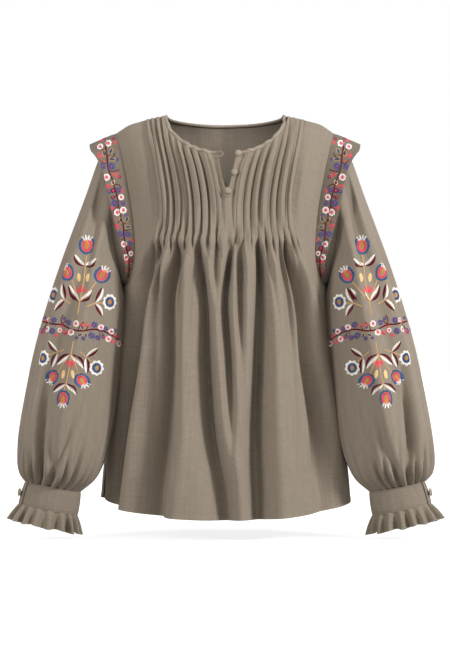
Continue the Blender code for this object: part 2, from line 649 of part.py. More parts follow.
def neck_binding(name, material):
    """The band carries on from the cut edge, in the plane of the cloth."""
    path = np.vstack([neck_edge(True, -1), neck_edge(False, -1)[::-1], neck_edge(False, 1),
                      neck_edge(True, 1)[::-1]])
    path = along(path, BINDING_POINTS * 2 + 1)
    edge, out = path[:, :3], unit(path[:, 3:])
    ahead = unit(np.gradient(edge, axis=0))
    up = unit(np.cross(ahead, out))
    out = np.cross(up, ahead)
    centre = edge + up * (BINDING_HEIGHT / 2 + BINDING_SEAM) - out * CLOTH / 2
    return swept_band(name, centre, out, up, BINDING_THICKNESS / 2, BINDING_HEIGHT / 2,
                      BINDING_SIDES, material)


def cuff(name, side, material):
    """A band that laps over itself: its lower end starts one cloth thickness inside."""
    turns = CUFF_LAP_AT - CUFF_LAP + np.linspace(0, 1 + CUFF_LAP, CUFF_AROUND + 1)
    under = np.clip(1 - (turns - turns[0]) / (CUFF_LAP * 2.2), 0, 1)
    sink = -(BAND_CLOTH + 2 * SEAM) * np.minimum(1, under * 1.9)
    top, out_top = ring_points(CUFF_TOP, turns, side, sink)
    end, out_end = ring_points(CUFF_END, turns, side, sink)
    outer = np.array([top, (top + end) / 2, end])
    out = np.array([out_top, unit(out_top + out_end), out_end])
    return shell(name, outer, outer - out * BAND_CLOTH, material)


def frill(name, side, material):
    turns = (CUFF_LAP_AT + FRILL_GAP / 2
             + np.linspace(0, 1 - FRILL_GAP, FRILL_WAVES * FRILL_POINTS + 1))
    wave = np.cos(np.arange(len(turns)) * 2 * math.pi / FRILL_POINTS)
    uneven = 1 + 0.25 * np.sin(turns * 2 * math.pi * 4 + side)
    top, _ = ring_points(FRILL_TOP, turns, side, wave * FRILL_RISE * 0.18 - BAND_CLOTH * 0.1)
    middle, _ = ring_points(mean_ring(FRILL_TOP, FRILL_END), turns, side,
                            wave * uneven * FRILL_RISE * 0.75)
    end, _ = ring_points(FRILL_END, turns, side, wave * uneven * FRILL_RISE)
    outer = np.array([top, middle, end])
    normal = surface_normals(outer)
    facing = outer - outer.mean(axis=1, keepdims=True)
    normal *= np.sign(np.sum(normal * facing))
    return shell(name, outer, outer - normal * CLOTH, material)


def mean_ring(first, second):
    return Ring(*[(a + b) / 2 for a, b in zip(first, second)])


def button(name, radius, at, outward, material):
    """A covered button, turned from a half profile, standing off the cloth on its shank."""
    head = SHANK_HEIGHT
    rim = head + (BUTTON_HEIGHT - head) * 0.35
    profile = [(0, BUTTON_HEIGHT), (radius * 0.62, BUTTON_HEIGHT * 0.9), (radius, rim),
               (radius * 0.82, head), (SHANK_RADIUS, head), (SHANK_RADIUS, 0), (0, 0)]
    mesh = bpy.data.meshes.new(name)
    mesh.from_pydata([(x, 0, z) for x, z in profile], [(i, i + 1) for i in range(len(profile) - 1)], [])
    mesh.materials.append(material)
    made = bpy.data.objects.new(name, mesh)
    bpy.data.collections[COLLECTION].objects.link(made)
    turned = made.modifiers.new("Turned", "SCREW")
    turned.steps = turned.render_steps = BUTTON_STEPS
    turned.use_merge_vertices = True
    turned.merge_threshold = 0.00005
    turned.use_smooth_shade = True
    made.location = at
    made.rotation_mode = "QUATERNION"
    made.rotation_quaternion = Vector(outward).to_track_quat("Z", "Y")
    return made


def cuff_button_place(side):
    """Point on the cuff's lapped end, just in front of its outer side, and the way out."""
    ring = mean_ring(CUFF_TOP, CUFF_END)
    points, out = ring_points(ring, np.array([CUFF_BUTTON_AT]), side, SEAM)
    return points[0], out[0]


def joined_faces(names):
    """Search tree over the faces of a few made pieces."""
    points, faces = [], []
    for name in names:
        mesh = bpy.data.objects[name].data
        faces += [[index + len(points) for index in face.vertices] for face in mesh.polygons]
        points += [vertex.co.copy() for vertex in mesh.vertices]
    return BVHTree.FromPolygons(points, faces)


def over_front(faces, x, z, radius):
    """Place that is clear of the front and its binding, as made, for a disc of this radius."""
    step = 0.002

    def point(x, z):
        return np.array([x, -float(depth(abs(x), z, "front_depth")), z])

    out = unit(np.cross(point(x + step, z) - point(x - step, z),
                        point(x, z + step) - point(x, z - step)))
    centre = point(x, z)
    heights = [TUCK_HEIGHT] if abs(x - SLIT_SHIFT) < smooth(SLIT, "half_width", z) else []
    for dx, dz in ((0, 0), (1, 0), (-1, 0), (0, 1), (0, -1), (0.7, 0.7), (-0.7, 0.7),
                   (0.7, -0.7), (-0.7, -0.7)):
        start = Vector((x + dx * radius, -1, z + dz * radius))
        hit = faces.ray_cast(start, Vector((0, 1, 0)))[0]
        if hit:
            heights.append(float((np.array(hit) - centre) @ out))
    return centre + out * (max(heights) + SEAM), out


def cord_loop(name, faces, places, material):
    """A thin rolled cord laid on the front, its corners rounded off."""
    route = []
    for place in places:
        centre, out = over_front(faces, place.x, place.z, LOOP_CORD)
        route.append(np.concatenate([centre + out * LOOP_CORD, out]))
    route = np.array(route)
    for _ in range(2):
        near, far = route[:-1], route[1:]
        cut = np.stack([near * 0.75 + far * 0.25, near * 0.25 + far * 0.75], axis=1).reshape(-1, 6)
        route = np.vstack([route[:1], cut[1:-1], route[-1:]])
    route = along(route, LOOP_STEPS)
    ahead = unit(np.gradient(route[:, :3], axis=0))
    out = unit(route[:, 3:] - ahead * np.sum(route[:, 3:] * ahead, axis=1, keepdims=True))
    return swept_band(name, route[:, :3], out, np.cross(ahead, out), LOOP_CORD, LOOP_CORD, 6, material)


def build():
    cloth = make_material("Taupe linen, body", TAUPE)
    back_cloth = make_material("Taupe linen, back", TAUPE_DARK)
    outer, inner, _ = panel_grid(FRONT_SHARES, FRONT_ROWS, True)
    # The middle pair of columns has no cells above the slit's base.
    middle = len(FRONT_SHARES) // 2 - 1
    slit_rows = np.nonzero(outer[:, middle, 2] > SLIT_BASE_Z)[0]
    open_cells = (slit_rows[:-1], np.full(len(slit_rows) - 1, middle))
    shell("front", outer, inner, cloth, open_cells=open_cells)

    shares = np.concatenate([-BACK_SHARES[:0:-1], BACK_SHARES])
    outer, inner, _ = panel_grid(shares, BACK_ROWS, False)
    shell("back", outer, inner, back_cloth)

    neck_binding("neck_binding", make_material("Taupe linen, neck binding", TAUPE))
    for word, side in (("left", -1), ("right", 1)):
        sleeve("sleeve_" + word, side, make_material("Taupe linen, sleeve " + word, TAUPE))
        flange("flange_" + word, side, make_material("Taupe linen, flange " + word, TAUPE))
        cuff("cuff_" + word, side, make_material("Taupe linen, cuff " + word, TAUPE))
        frill("frill_" + word, side, make_material("Taupe linen, frill " + word, TAUPE))
        centre, out = cuff_button_place(side)
        button("cuff_button_" + word, CUFF_BUTTON_RADIUS, centre, out,
               make_material("Covered button, cuff " + word, TAUPE_DARK))
    faces = joined_faces(("front", "neck_binding"))
    for place in NECK_BUTTONS:
        centre, out = over_front(faces, place.x, place.z, SHANK_RADIUS)
        button(place.name, BUTTON_RADIUS, centre, out,
               make_material("Covered button, " + place.name.split("_")[1], TAUPE_DARK))
    for name, places in LOOP_ROUTES.items():
        cord_loop(name, faces, places, make_material("Cord, " + name, TAUPE_DARK))


for thing in list(bpy.data.objects):
    bpy.data.objects.remove(thing, do_unlink=True)
bpy.context.scene.collection.children.link(bpy.data.collections.new(COLLECTION))
build()
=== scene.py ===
# Embroidered folk blouse: fine cloth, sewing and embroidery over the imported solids.
# Blender 4.5. Metres, +Z up, the front faces -Y, "left" and "right" are the photo's.

import math
import random

import bpy
import numpy as np
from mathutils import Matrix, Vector
from mathutils.bvhtree import BVHTree


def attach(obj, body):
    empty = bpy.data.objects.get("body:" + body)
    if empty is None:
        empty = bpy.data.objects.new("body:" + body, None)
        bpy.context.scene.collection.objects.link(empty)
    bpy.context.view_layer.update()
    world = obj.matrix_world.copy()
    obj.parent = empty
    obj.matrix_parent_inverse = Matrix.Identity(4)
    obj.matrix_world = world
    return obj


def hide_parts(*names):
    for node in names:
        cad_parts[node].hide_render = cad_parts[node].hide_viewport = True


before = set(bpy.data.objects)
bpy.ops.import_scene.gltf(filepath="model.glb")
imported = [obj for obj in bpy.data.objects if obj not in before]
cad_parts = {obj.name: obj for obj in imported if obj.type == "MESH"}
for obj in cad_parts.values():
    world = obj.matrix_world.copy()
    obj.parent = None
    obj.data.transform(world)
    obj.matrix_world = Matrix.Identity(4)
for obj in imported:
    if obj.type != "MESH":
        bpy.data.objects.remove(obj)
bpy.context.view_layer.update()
print("frame loaded:", len(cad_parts), "nodes")

collection = bpy.data.collections.new("blouseCloth")
bpy.context.scene.collection.children.link(collection)

# the pale room, the camera and the lamps
studio = {
    "cameraAt": (0.0, -4.0, -0.3328), "lens": 138.5,
    "floorZ": -0.6685, "floorReach": 14.0, "floorSides": 64, "floorTone": 0.45,
    "glowNear": 0.74, "glowFar": 1.0, "glowReach": (0.45, 1.1),
    "roomStrength": 0.64, "roomTint": (1.0, 0.97, 0.93, 1),
    "keyPower": 138.0, "keyAt": (3.3, -1.9, 1.4), "keySize": 0.8,
    "fillPower": 46.0, "fillAt": (-2.9, -2.3, 1.0), "fillSize": 0.9,
    "neckPower": 84.0, "neckAt": (0.0, -1.415, 0.53), "neckAim": (0.0, 0.085, -0.012), "neckCone": 7.6,
    "neckSoftness": 0.08, "lampAim": (0, 0, -0.3),
}


def makeCamera():
    data = bpy.data.cameras.new("photoView")
    data.lens, data.sensor_width, data.sensor_fit = studio["lens"], 36.0, "AUTO"
    data.clip_start, data.clip_end = 0.05, 60.0
    camera = bpy.data.objects.new("photoView", data)
    camera.location = studio["cameraAt"]
    camera.rotation_euler = (math.radians(90), 0, 0)
    bpy.context.scene.collection.objects.link(camera)
    bpy.context.scene.camera = camera


def hangLamp(data, at, aim):
    lamp = bpy.data.objects.new(data.name, data)
    lamp.location = at
    lamp.rotation_euler = (Vector(aim) - Vector(at)).to_track_quat("-Z", "Y").to_euler()
    bpy.context.scene.collection.objects.link(lamp)


def makeLight(name, power, at, size):
    data = bpy.data.lights.new(name, "AREA")
    data.energy, data.size = power, size
    hangLamp(data, at, studio["lampAim"])


def makeNeckLight():
    # a narrow beam over the front edge onto the inside of the back
    data = bpy.data.lights.new("neckBeam", "SPOT")
    data.energy, data.spot_size, data.spot_blend = studio["neckPower"], math.radians(studio["neckCone"]), 1.0
    data.shadow_soft_size = studio["neckSoftness"]
    hangLamp(data, studio["neckAt"], studio["neckAim"])


def seenByCamera(tree):
    return tree.nodes.new("ShaderNodeLightPath").outputs["Is Camera Ray"]


def makeFloor():
    sides, reach = studio["floorSides"], studio["floorReach"]
    rim = [(reach * math.cos(2 * math.pi * k / sides), reach * math.sin(2 * math.pi * k / sides), studio["floorZ"])
           for k in range(sides)]
    mesh = bpy.data.meshes.new("paleFloor")
    mesh.from_pydata(rim, [], [list(range(sides))])
    paper = bpy.data.materials.new("palePaper")
    paper.use_nodes = True
    tree = paper.node_tree
    shader = tree.nodes["Principled BSDF"]
    shader.inputs["Base Color"].default_value = (*[studio["floorTone"]] * 3, 1)
    shader.inputs["Roughness"].default_value = 0.95
    shader.inputs["Specular IOR Level"].default_value = 0.1
    shader.inputs["Emission Color"].default_value = (1, 1, 1, 1)
    place = tree.nodes.new("ShaderNodeTexCoord")
    away = tree.nodes.new("ShaderNodeVectorMath")
    away.operation = "LENGTH"
    tree.links.new(place.outputs["Object"], away.inputs[0])
    level = tree.nodes.new("ShaderNodeMapRange")
    level.inputs["From Min"].default_value, level.inputs["From Max"].default_value = studio["glowReach"]
    level.inputs["To Min"].default_value = studio["glowNear"]
    level.inputs["To Max"].default_value = studio["glowFar"]
    tree.links.new(away.outputs["Value"], level.inputs["Value"])
    glow = tree.nodes.new("ShaderNodeMath")
    glow.operation = "MULTIPLY"
    tree.links.new(seenByCamera(tree), glow.inputs[0])
    tree.links.new(level.outputs[0], glow.inputs[1])
    tree.links.new(glow.outputs[0], shader.inputs["Emission Strength"])
    mesh.materials.append(paper)
    floor = bpy.data.objects.new("paleFloor", mesh)
    bpy.context.scene.collection.objects.link(floor)


def makeRoom():
    world = bpy.data.worlds.new("paleRoom")
    world.use_nodes = True
    tree = world.node_tree
    background = tree.nodes["Background"]
    tint = tree.nodes.new("ShaderNodeMix")
    tint.data_type = "RGBA"
    tint.inputs["A"].default_value, tint.inputs["B"].default_value = studio["roomTint"], (1, 1, 1, 1)
    tree.links.new(seenByCamera(tree), tint.inputs["Factor"])
    tree.links.new(tint.outputs["Result"], background.inputs["Color"])
    level = tree.nodes.new("ShaderNodeMapRange")
    level.inputs["To Min"].default_value = studio["roomStrength"]
    level.inputs["To Max"].default_value = 1.0
    tree.links.new(seenByCamera(tree), level.inputs["Value"])
    tree.links.new(level.outputs[0], background.inputs["Strength"])
    bpy.context.scene.world = world


makeCamera()
makeFloor()
makeRoom()
makeLight("softKey", studio["keyPower"], studio["keyAt"], studio["keySize"])
makeLight("softFill", studio["fillPower"], studio["fillAt"], studio["fillSize"])
makeNeckLight()
bpy.context.scene.view_settings.view_transform = "Standard"
print("studio ready")

# cloth and thread finishes
def newGroup(name, inputs, outputs):
    group = bpy.data.node_groups.new(name, "ShaderNodeTree")
    for label, kind, value in inputs:
        socket = group.interface.new_socket(label, in_out="INPUT", socket_type=kind)
        if value is not None:
            socket.default_value = value
    for label, kind in outputs:
        group.interface.new_socket(label, in_out="OUTPUT", socket_type=kind)
    return group, group.nodes.new("NodeGroupInput"), group.nodes.new("NodeGroupOutput")


def mathNode(tree, operation, first, second=None, third=None):
    # numbers are set, sockets are linked
    node = tree.nodes.new("ShaderNodeMath")
    node.operation = operation
    for socket, value in zip(node.inputs, (first, second, third)):
        if isinstance(value, (int, float)):
            socket.default_value = value
        elif value is not None:
            tree.links.new(value, socket)
    return node.outputs[0]


def stretchedNoise(tree, vector, across, lengthwise, detail=2.0):
    # noise with so many lumps to a metre each way
    scaled = tree.nodes.new("ShaderNodeVectorMath")
    scaled.operation = "MULTIPLY"
    tree.links.new(vector, scaled.inputs[0])
    scaled.inputs[1].default_value = (across, lengthwise, 1.0)
    noise = tree.nodes.new("ShaderNodeTexNoise")
    noise.inputs["Scale"].default_value = 1.0
    noise.inputs["Detail"].default_value = detail
    tree.links.new(scaled.outputs[0], noise.inputs["Vector"])
    return noise.outputs[0]


def shadeBy(tone, group, given, out):
    shade = group.nodes.new("ShaderNodeVectorMath")
    shade.operation = "SCALE"
    group.links.new(given.outputs["Colour"], shade.inputs[0])
    group.links.new(tone, shade.inputs["Scale"])
    group.links.new(shade.outputs[0], out.inputs["Colour"])


def makeWeaveGroup():
    group, given, out = newGroup(
        "plainWeave",
        [("Cloth", "NodeSocketVector", None), ("Colour", "NodeSocketColor", (0.3, 0.26, 0.2, 1)),
         ("Threads", "NodeSocketFloat", 1500.0), ("Slub", "NodeSocketFloat", 0.10),
         ("Crinkle", "NodeSocketFloat", 0.5), ("Fade", "NodeSocketFloat", 0.06)],
        [("Colour", "NodeSocketColor"), ("Roughness", "NodeSocketFloat"), ("Height", "NodeSocketFloat")])
    cloth = given.outputs["Cloth"]
    apart = group.nodes.new("ShaderNodeSeparateXYZ")
    group.links.new(cloth, apart.inputs[0])
    warpWay = mathNode(group, "MULTIPLY", apart.outputs[0], given.outputs["Threads"])
    weftWay = mathNode(group, "MULTIPLY", apart.outputs[1], given.outputs["Threads"])
    warp = mathNode(group, "SINE", mathNode(group, "MULTIPLY", warpWay, math.pi))
    weft = mathNode(group, "SINE", mathNode(group, "MULTIPLY", weftWay, math.pi))
    over = mathNode(group, "MULTIPLY", warp, weft)          # which thread lies on top
    warpSlub = stretchedNoise(group, cloth, 420, 18)
    weftSlub = stretchedNoise(group, cloth, 24, 440)
    crinkle = stretchedNoise(group, cloth, 130, 7, 3.0)
    fade = stretchedNoise(group, cloth, 9, 6, 2.0)
    slubs = mathNode(group, "SUBTRACT", mathNode(group, "ADD", warpSlub, weftSlub), 1.0)
    tone = mathNode(group, "MULTIPLY", slubs, given.outputs["Slub"])
    tone = mathNode(group, "MULTIPLY_ADD", mathNode(group, "SUBTRACT", fade, 0.5), given.outputs["Fade"], tone)
    tone = mathNode(group, "MULTIPLY_ADD", over, 0.035, tone)
    tone = mathNode(group, "MULTIPLY_ADD", mathNode(group, "SUBTRACT", crinkle, 0.5), 0.10, tone)
    tone = mathNode(group, "ADD", tone, 1.0)
    shadeBy(tone, group, given, out)
    rough = mathNode(group, "MULTIPLY_ADD", slubs, 0.12, 0.86)
    group.links.new(rough, out.inputs["Roughness"])
    height = mathNode(group, "MULTIPLY", crinkle, given.outputs["Crinkle"])
    height = mathNode(group, "MULTIPLY_ADD", slubs, 0.16, height)
    height = mathNode(group, "MULTIPLY_ADD", over, 0.05, height)
    group.links.new(height, out.inputs["Height"])
    return group


def makeThreadGroup():
    group, given, out = newGroup(
        "twistedThread",
        [("Place", "NodeSocketVector", None), ("Colour", "NodeSocketColor", (0.5, 0.5, 0.5, 1)),
         ("Twists", "NodeSocketFloat", 2200.0), ("Mottle", "NodeSocketFloat", 0.22)],
        [("Colour", "NodeSocketColor"), ("Roughness", "NodeSocketFloat"), ("Height", "NodeSocketFloat")])
    place = given.outputs["Place"]
    apart = group.nodes.new("ShaderNodeSeparateXYZ")
    group.links.new(place, apart.inputs[0])
    along = mathNode(group, "ADD", apart.outputs[0], mathNode(group, "MULTIPLY", apart.outputs[1], 0.8))
    twist = mathNode(group, "SINE", mathNode(group, "MULTIPLY", along, given.outputs["Twists"]))
    fuzz = stretchedNoise(group, place, 700, 700, 3.0)
    patch = stretchedNoise(group, place, 90, 90, 1.0)
    tone = mathNode(group, "MULTIPLY", mathNode(group, "SUBTRACT", fuzz, 0.5), given.outputs["Mottle"])
    tone = mathNode(group, "MULTIPLY_ADD", mathNode(group, "SUBTRACT", patch, 0.5), 0.12, tone)
    tone = mathNode(group, "MULTIPLY_ADD", twist, 0.04, tone)
    tone = mathNode(group, "ADD", tone, 1.0)
    shadeBy(tone, group, given, out)
    group.links.new(mathNode(group, "MULTIPLY_ADD", fuzz, 0.2, 0.38), out.inputs["Roughness"])
    group.links.new(mathNode(group, "ADD", mathNode(group, "MULTIPLY", twist, 0.5), fuzz), out.inputs["Height"])
    return group


weaveGroup = makeWeaveGroup()
threadGroup = makeThreadGroup()
clothMap = "clothMap"         # UV map in metres along and across the cloth


def groupedMaterial(name, group, values, bumpDistance, bumpStrength, sheen=0.02, coordinate="object"):
    material = bpy.data.materials.new(name)
    material.use_nodes = True
    tree = material.node_tree
    shader = tree.nodes["Principled BSDF"]
    effect = tree.nodes.new("ShaderNodeGroup")
    effect.node_tree = group
    for label, value in values.items():
        effect.inputs[label].default_value = value
    if coordinate == clothMap:
        source = tree.nodes.new("ShaderNodeUVMap")
        source.uv_map = clothMap
        tree.links.new(source.outputs[0], effect.inputs[0])
    else:
        source = tree.nodes.new("ShaderNodeTexCoord")
        tree.links.new(source.outputs["Object"], effect.inputs[0])
    tree.links.new(effect.outputs["Colour"], shader.inputs["Base Color"])
    tree.links.new(effect.outputs["Roughness"], shader.inputs["Roughness"])
    bump = tree.nodes.new("ShaderNodeBump")
    bump.inputs["Distance"].default_value = bumpDistance
    bump.inputs["Strength"].default_value = bumpStrength
    tree.links.new(effect.outputs["Height"], bump.inputs["Height"])
    tree.links.new(bump.outputs[0], shader.inputs["Normal"])
    shader.inputs["Metallic"].default_value = 0.0
    shader.inputs["Sheen Weight"].default_value = sheen
    shader.inputs["Sheen Roughness"].default_value = 0.5
    shader.inputs["Specular IOR Level"].default_value = 0.3
    return material


linenTones = {
    # back: the whole back is a little lighter than the front, painted light for its inside seen through the neck
    # opening
    "front": (0.262, 0.218, 0.170), "back": (0.278, 0.232, 0.181), "neck": (0.286, 0.240, 0.189),
    # flange: much darker than the sleeve, partly painted shade of the recess under the wing and partly the dark
    # thread ground among its dense stitches
    "sleeve": (0.262, 0.218, 0.170), "flange": (0.182, 0.150, 0.117), "cuff": (0.236, 0.197, 0.153),
    "frill": (0.232, 0.194, 0.150), "button": (0.318, 0.268, 0.212), "sewing": (0.190, 0.157, 0.120),
}


linenWeave = {"Threads": 1500.0, "Slub": 0.38, "Fade": 0.10}


def linen(name, tone, crinkle=0.6):
    values = {"Colour": (*linenTones[tone], 1), "Crinkle": crinkle, **linenWeave}
    return groupedMaterial(name, weaveGroup, values, bumpDistance=0.0012, bumpStrength=0.5, sheen=0.06,
                           coordinate=clothMap)


print("finishes ready")

# how the cloth is cut and hung
bodyGirth = {       # half width at the side seams, depth of the front and of the back
    "at": [0.020, -0.073, -0.120, -0.200, -0.272, -0.310, -0.360, -0.450, -0.542, -0.640],
    "halfWidth": [0.186, 0.182, 0.176, 0.166, 0.160, 0.1605, 0.1645, 0.1745, 0.1895, 0.198],
    "frontDepth": [0.066, 0.080, 0.092, 0.108, 0.117, 0.120, 0.1235, 0.128, 0.133, 0.137],
    "backDepth": [0.084, 0.096, 0.104, 0.108, 0.108, 0.109, 0.112, 0.120, 0.128, 0.134],
}
shoulderSeam = {"at": [0.000, 0.060, 0.098, 0.137, 0.156, 0.166, 0.180],
                "z": [0.020, 0.009, 0.001, -0.008, -0.0144, -0.021, -0.031]}
neckHole = {"halfWidth": 0.0983, "frontZ": -0.0670, "backZ": -0.0125, "squareness": 0.52}
frontSlit = {"at": [-0.0550, -0.0680, -0.0950, -0.1155, -0.1220, -0.1500, -0.6400],
             "halfWidth": [0.0165, 0.0141, 0.0084, 0.0038, 0.0016, 0.0012, 0.0012]}
slitBase, slitShift = -0.1195, 0.0031
armhole = {"at": [-0.0265, -0.060, -0.100, -0.140, -0.180, -0.215, -0.238, -0.255, -0.266, -0.272],
           "x": [0.1735, 0.1655, 0.1575, 0.1500, 0.1440, 0.1405, 0.1425, 0.1480, 0.1545, 0.1600]}
armpitZ, shoulderRoll, ovalPower = -0.272, 0.085, 2.2
hem = {"sideZ": -0.606, "frontDrop": 0.0295, "backDrop": 0.030, "curve": 1.18,
       "turnUp": 0.0062, "turnRise": 0.0005, "turnEdge": 0.0008,
       "grooveAt": 0.0012, "grooveDepth": 0.00035, "grooveWidth": 0.0006}
thinCloth = 0.0006


def smoothAt(table, field, at):
    # a smooth curve through a table's values, held level past its ends
    keys, values = np.array(table["at"], float), np.array(table[field], float)
    if keys[0] > keys[-1]:
        keys, values = keys[::-1], values[::-1]
    slopes = np.gradient(values, keys)
    at = np.clip(np.asarray(at, float), keys[0], keys[-1])
    index = np.clip(np.searchsorted(keys, at) - 1, 0, len(keys) - 2)
    width = keys[index + 1] - keys[index]
    t = (at - keys[index]) / width
    return ((2 * t**3 - 3 * t**2 + 1) * values[index] + (t**3 - 2 * t**2 + t) * width * slopes[index]
            + (-2 * t**3 + 3 * t**2) * values[index + 1] + (t**3 - t**2) * width * slopes[index + 1])


def smoothStep(value):
    value = np.clip(value, 0, 1)
    return value * value * (3 - 2 * value)


def foldRise(folds, at):
    # a wave through given crests and troughs
    keys, values = np.array([f[0] for f in folds]), np.array([f[1] for f in folds])
    index = np.clip(np.searchsorted(keys, at) - 1, 0, len(keys) - 2)
    t = np.clip((at - keys[index]) / (keys[index + 1] - keys[index]), 0, 1)
    blend = (1 - np.cos(math.pi * t)) / 2
    return values[index] * (1 - blend) + values[index + 1] * blend


def unit(vector):
    return vector / np.maximum(np.linalg.norm(vector, axis=-1, keepdims=True), 1e-12)


def runLength(path):
    # the way along a path to each of its points
    return np.concatenate([[0], np.cumsum(np.linalg.norm(np.diff(path, axis=0), axis=1))])


def evenly(path, count):
    length = runLength(path[:, :3])
    wanted = np.linspace(0, length[-1], count)
    return np.stack([np.interp(wanted, length, path[:, k]) for k in range(path.shape[1])], axis=1)


def cornersCut(route, times):
    for _ in range(times):
        near, far = route[:-1], route[1:]
        cut = np.stack([near * 0.75 + far * 0.25, near * 0.25 + far * 0.75], axis=1).reshape(-1, route.shape[1])
        route = np.vstack([route[:1], cut[1:-1], route[-1:]])
    return route


def everyCell(rows, cells):
    r, c = np.meshgrid(np.arange(rows - 1), np.arange(cells), indexing="ij")
    return r.ravel(), c.ravel()


def cellCorners(r, c, columns):
    right = (c + 1) % columns
    return np.stack([r * columns + c, r * columns + right, (r + 1) * columns + right, (r + 1) * columns + c], 1)


def endQuads(rings, sides):
    # strips of quads across both ends of a tube
    found = []
    for loop in (np.arange(sides), (rings - 1) * sides + np.arange(sides)[::-1]):
        found += [[loop[k], loop[k + 1], loop[sides - k - 2], loop[sides - k - 1]] for k in range(sides // 2 - 1)]
    return np.array(found)[:, ::-1]


def gridNormals(points, wrap=False):
    if wrap:
        points = np.concatenate([points[:, -1:], points, points[:, :1]], axis=1)
    cells = unit(np.cross(points[1:, :-1] - points[:-1, 1:], points[1:, 1:] - points[:-1, :-1]))
    cells = np.pad(cells, ((1, 1), (1, 1), (0, 0)), mode="edge")
    normal = unit(cells[:-1, :-1] + cells[:-1, 1:] + cells[1:, :-1] + cells[1:, 1:])
    return normal[:, 1:-1] if wrap else normal


def turnAt(x, halfWidth):
    # from 0 at the body's middle to 1 at its side
    return np.arcsin(np.clip(x / halfWidth, 0, 1) ** (ovalPower / 2)) * 2 / math.pi


def placeAt(turn, halfWidth):
    return halfWidth * np.sin(turn * math.pi / 2) ** (2 / ovalPower)


def topEdge(x, neckZ):
    # height of the neck's edge, or of the shoulder seam beyond it
    seamZ = smoothAt(shoulderSeam, "z", x)
    innerZ = smoothAt(shoulderSeam, "z", neckHole["halfWidth"])
    ratio = np.clip(x / neckHole["halfWidth"], 0, 1)
    holeZ = innerZ + (neckZ - innerZ) * (1 - ratio**2) ** neckHole["squareness"]
    return np.where(x < neckHole["halfWidth"], holeZ, seamZ)


def bodyDepth(x, z, field):
    # how far the body reaches forward or back, rolled in at the shoulders
    halfWidth = smoothAt(bodyGirth, "halfWidth", z)
    oval = (1 - np.clip(x / halfWidth, 0, 1) ** ovalPower) ** (1 / ovalPower)
    below = np.clip((smoothAt(shoulderSeam, "z", x) - z) / shoulderRoll, 0, 1)
    return smoothAt(bodyGirth, field, z) * oval * np.sqrt(1 - (1 - below) ** 2)


def makeShell(name, outer, inner, cloth, material, wrap=False, openCells=None):
    # two grids joined round their edges and open cells, mapped by their cloth lengths
    rows, columns = outer.shape[:2]
    cells = columns if wrap else columns - 1
    present = np.ones((rows - 1, cells), bool)
    if openCells is not None:
        present &= ~openCells
    layer = rows * columns
    r, c = np.nonzero(present)
    corners = cellCorners(r, c, columns)
    cornerMaps = np.stack([cloth[r, c], cloth[r, c + 1], cloth[r + 1, c + 1], cloth[r + 1, c]], 1)
    quads = [corners, corners[:, ::-1] + layer]
    maps = [cornerMaps, cornerMaps[:, ::-1]]
    beside = np.pad(present, 1)
    if wrap:
        beside[:, 0], beside[:, -1] = beside[:, -2].copy(), beside[:, 1].copy()
    for first, second, missing in ((1, 0, beside[:-2, 1:-1]), (2, 1, beside[1:-1, 2:]),
                                   (3, 2, beside[2:, 1:-1]), (0, 3, beside[1:-1, :-2])):
        edge = ~missing[r, c]
        a, b = corners[edge, first], corners[edge, second]
        quads.append(np.stack([a, b, b + layer, a + layer], 1))
        ma, mb = cornerMaps[edge, first], cornerMaps[edge, second]
        maps.append(np.stack([ma, mb, mb, ma], 1))
    quads, maps = np.concatenate(quads), np.concatenate(maps)
    points = np.concatenate([outer.reshape(-1, 3), inner.reshape(-1, 3)])
    used, quads = np.unique(quads, return_inverse=True)
    return makeMesh(name, points[used], quads.reshape(-1, 4), material, maps)


def makeMesh(name, points, quads, materials, maps=None, slots=None):
    mesh = bpy.data.meshes.new(name)
    mesh.vertices.add(len(points))
    mesh.vertices.foreach_set("co", np.asarray(points, np.float32).ravel())
    mesh.loops.add(quads.size)
    mesh.loops.foreach_set("vertex_index", quads.astype(np.int32).ravel())
    mesh.polygons.add(len(quads))
    mesh.polygons.foreach_set("loop_start", np.arange(0, quads.size, quads.shape[1], dtype=np.int32))
    for material in materials if isinstance(materials, list) else [materials]:
        mesh.materials.append(material)
    if slots is not None:
        mesh.polygons.foreach_set("material_index", np.asarray(slots, np.int32))
    mesh.update(calc_edges=True)
    if maps is not None:
        layer = mesh.uv_layers.new(name=clothMap)
        layer.uv.foreach_set("vector", np.asarray(maps, np.float32).ravel())
    mesh.shade_smooth()
    mesh.set_sharp_from_angle(angle=math.radians(62))
    mesh.validate()
    made = bpy.data.objects.new(name, mesh)
    collection.objects.link(made)
    return made


def settle(piece, node=None):
    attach(piece, "root")
    if node:
        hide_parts(node)
    return piece


def clothLengths(points, wrap=False):
    # metres across and down the cloth at each point
    steps = np.linalg.norm(np.diff(points, axis=0), axis=2)
    down = np.concatenate([np.zeros((1, points.shape[1])), np.cumsum(steps, axis=0)])
    middleRow = points[len(points) // 2]
    if wrap:
        middleRow = np.vstack([middleRow, middleRow[:1]])
        down = np.hstack([down, down[:, :1]])
    return np.stack([np.broadcast_to(runLength(middleRow), down.shape), -down], axis=2)


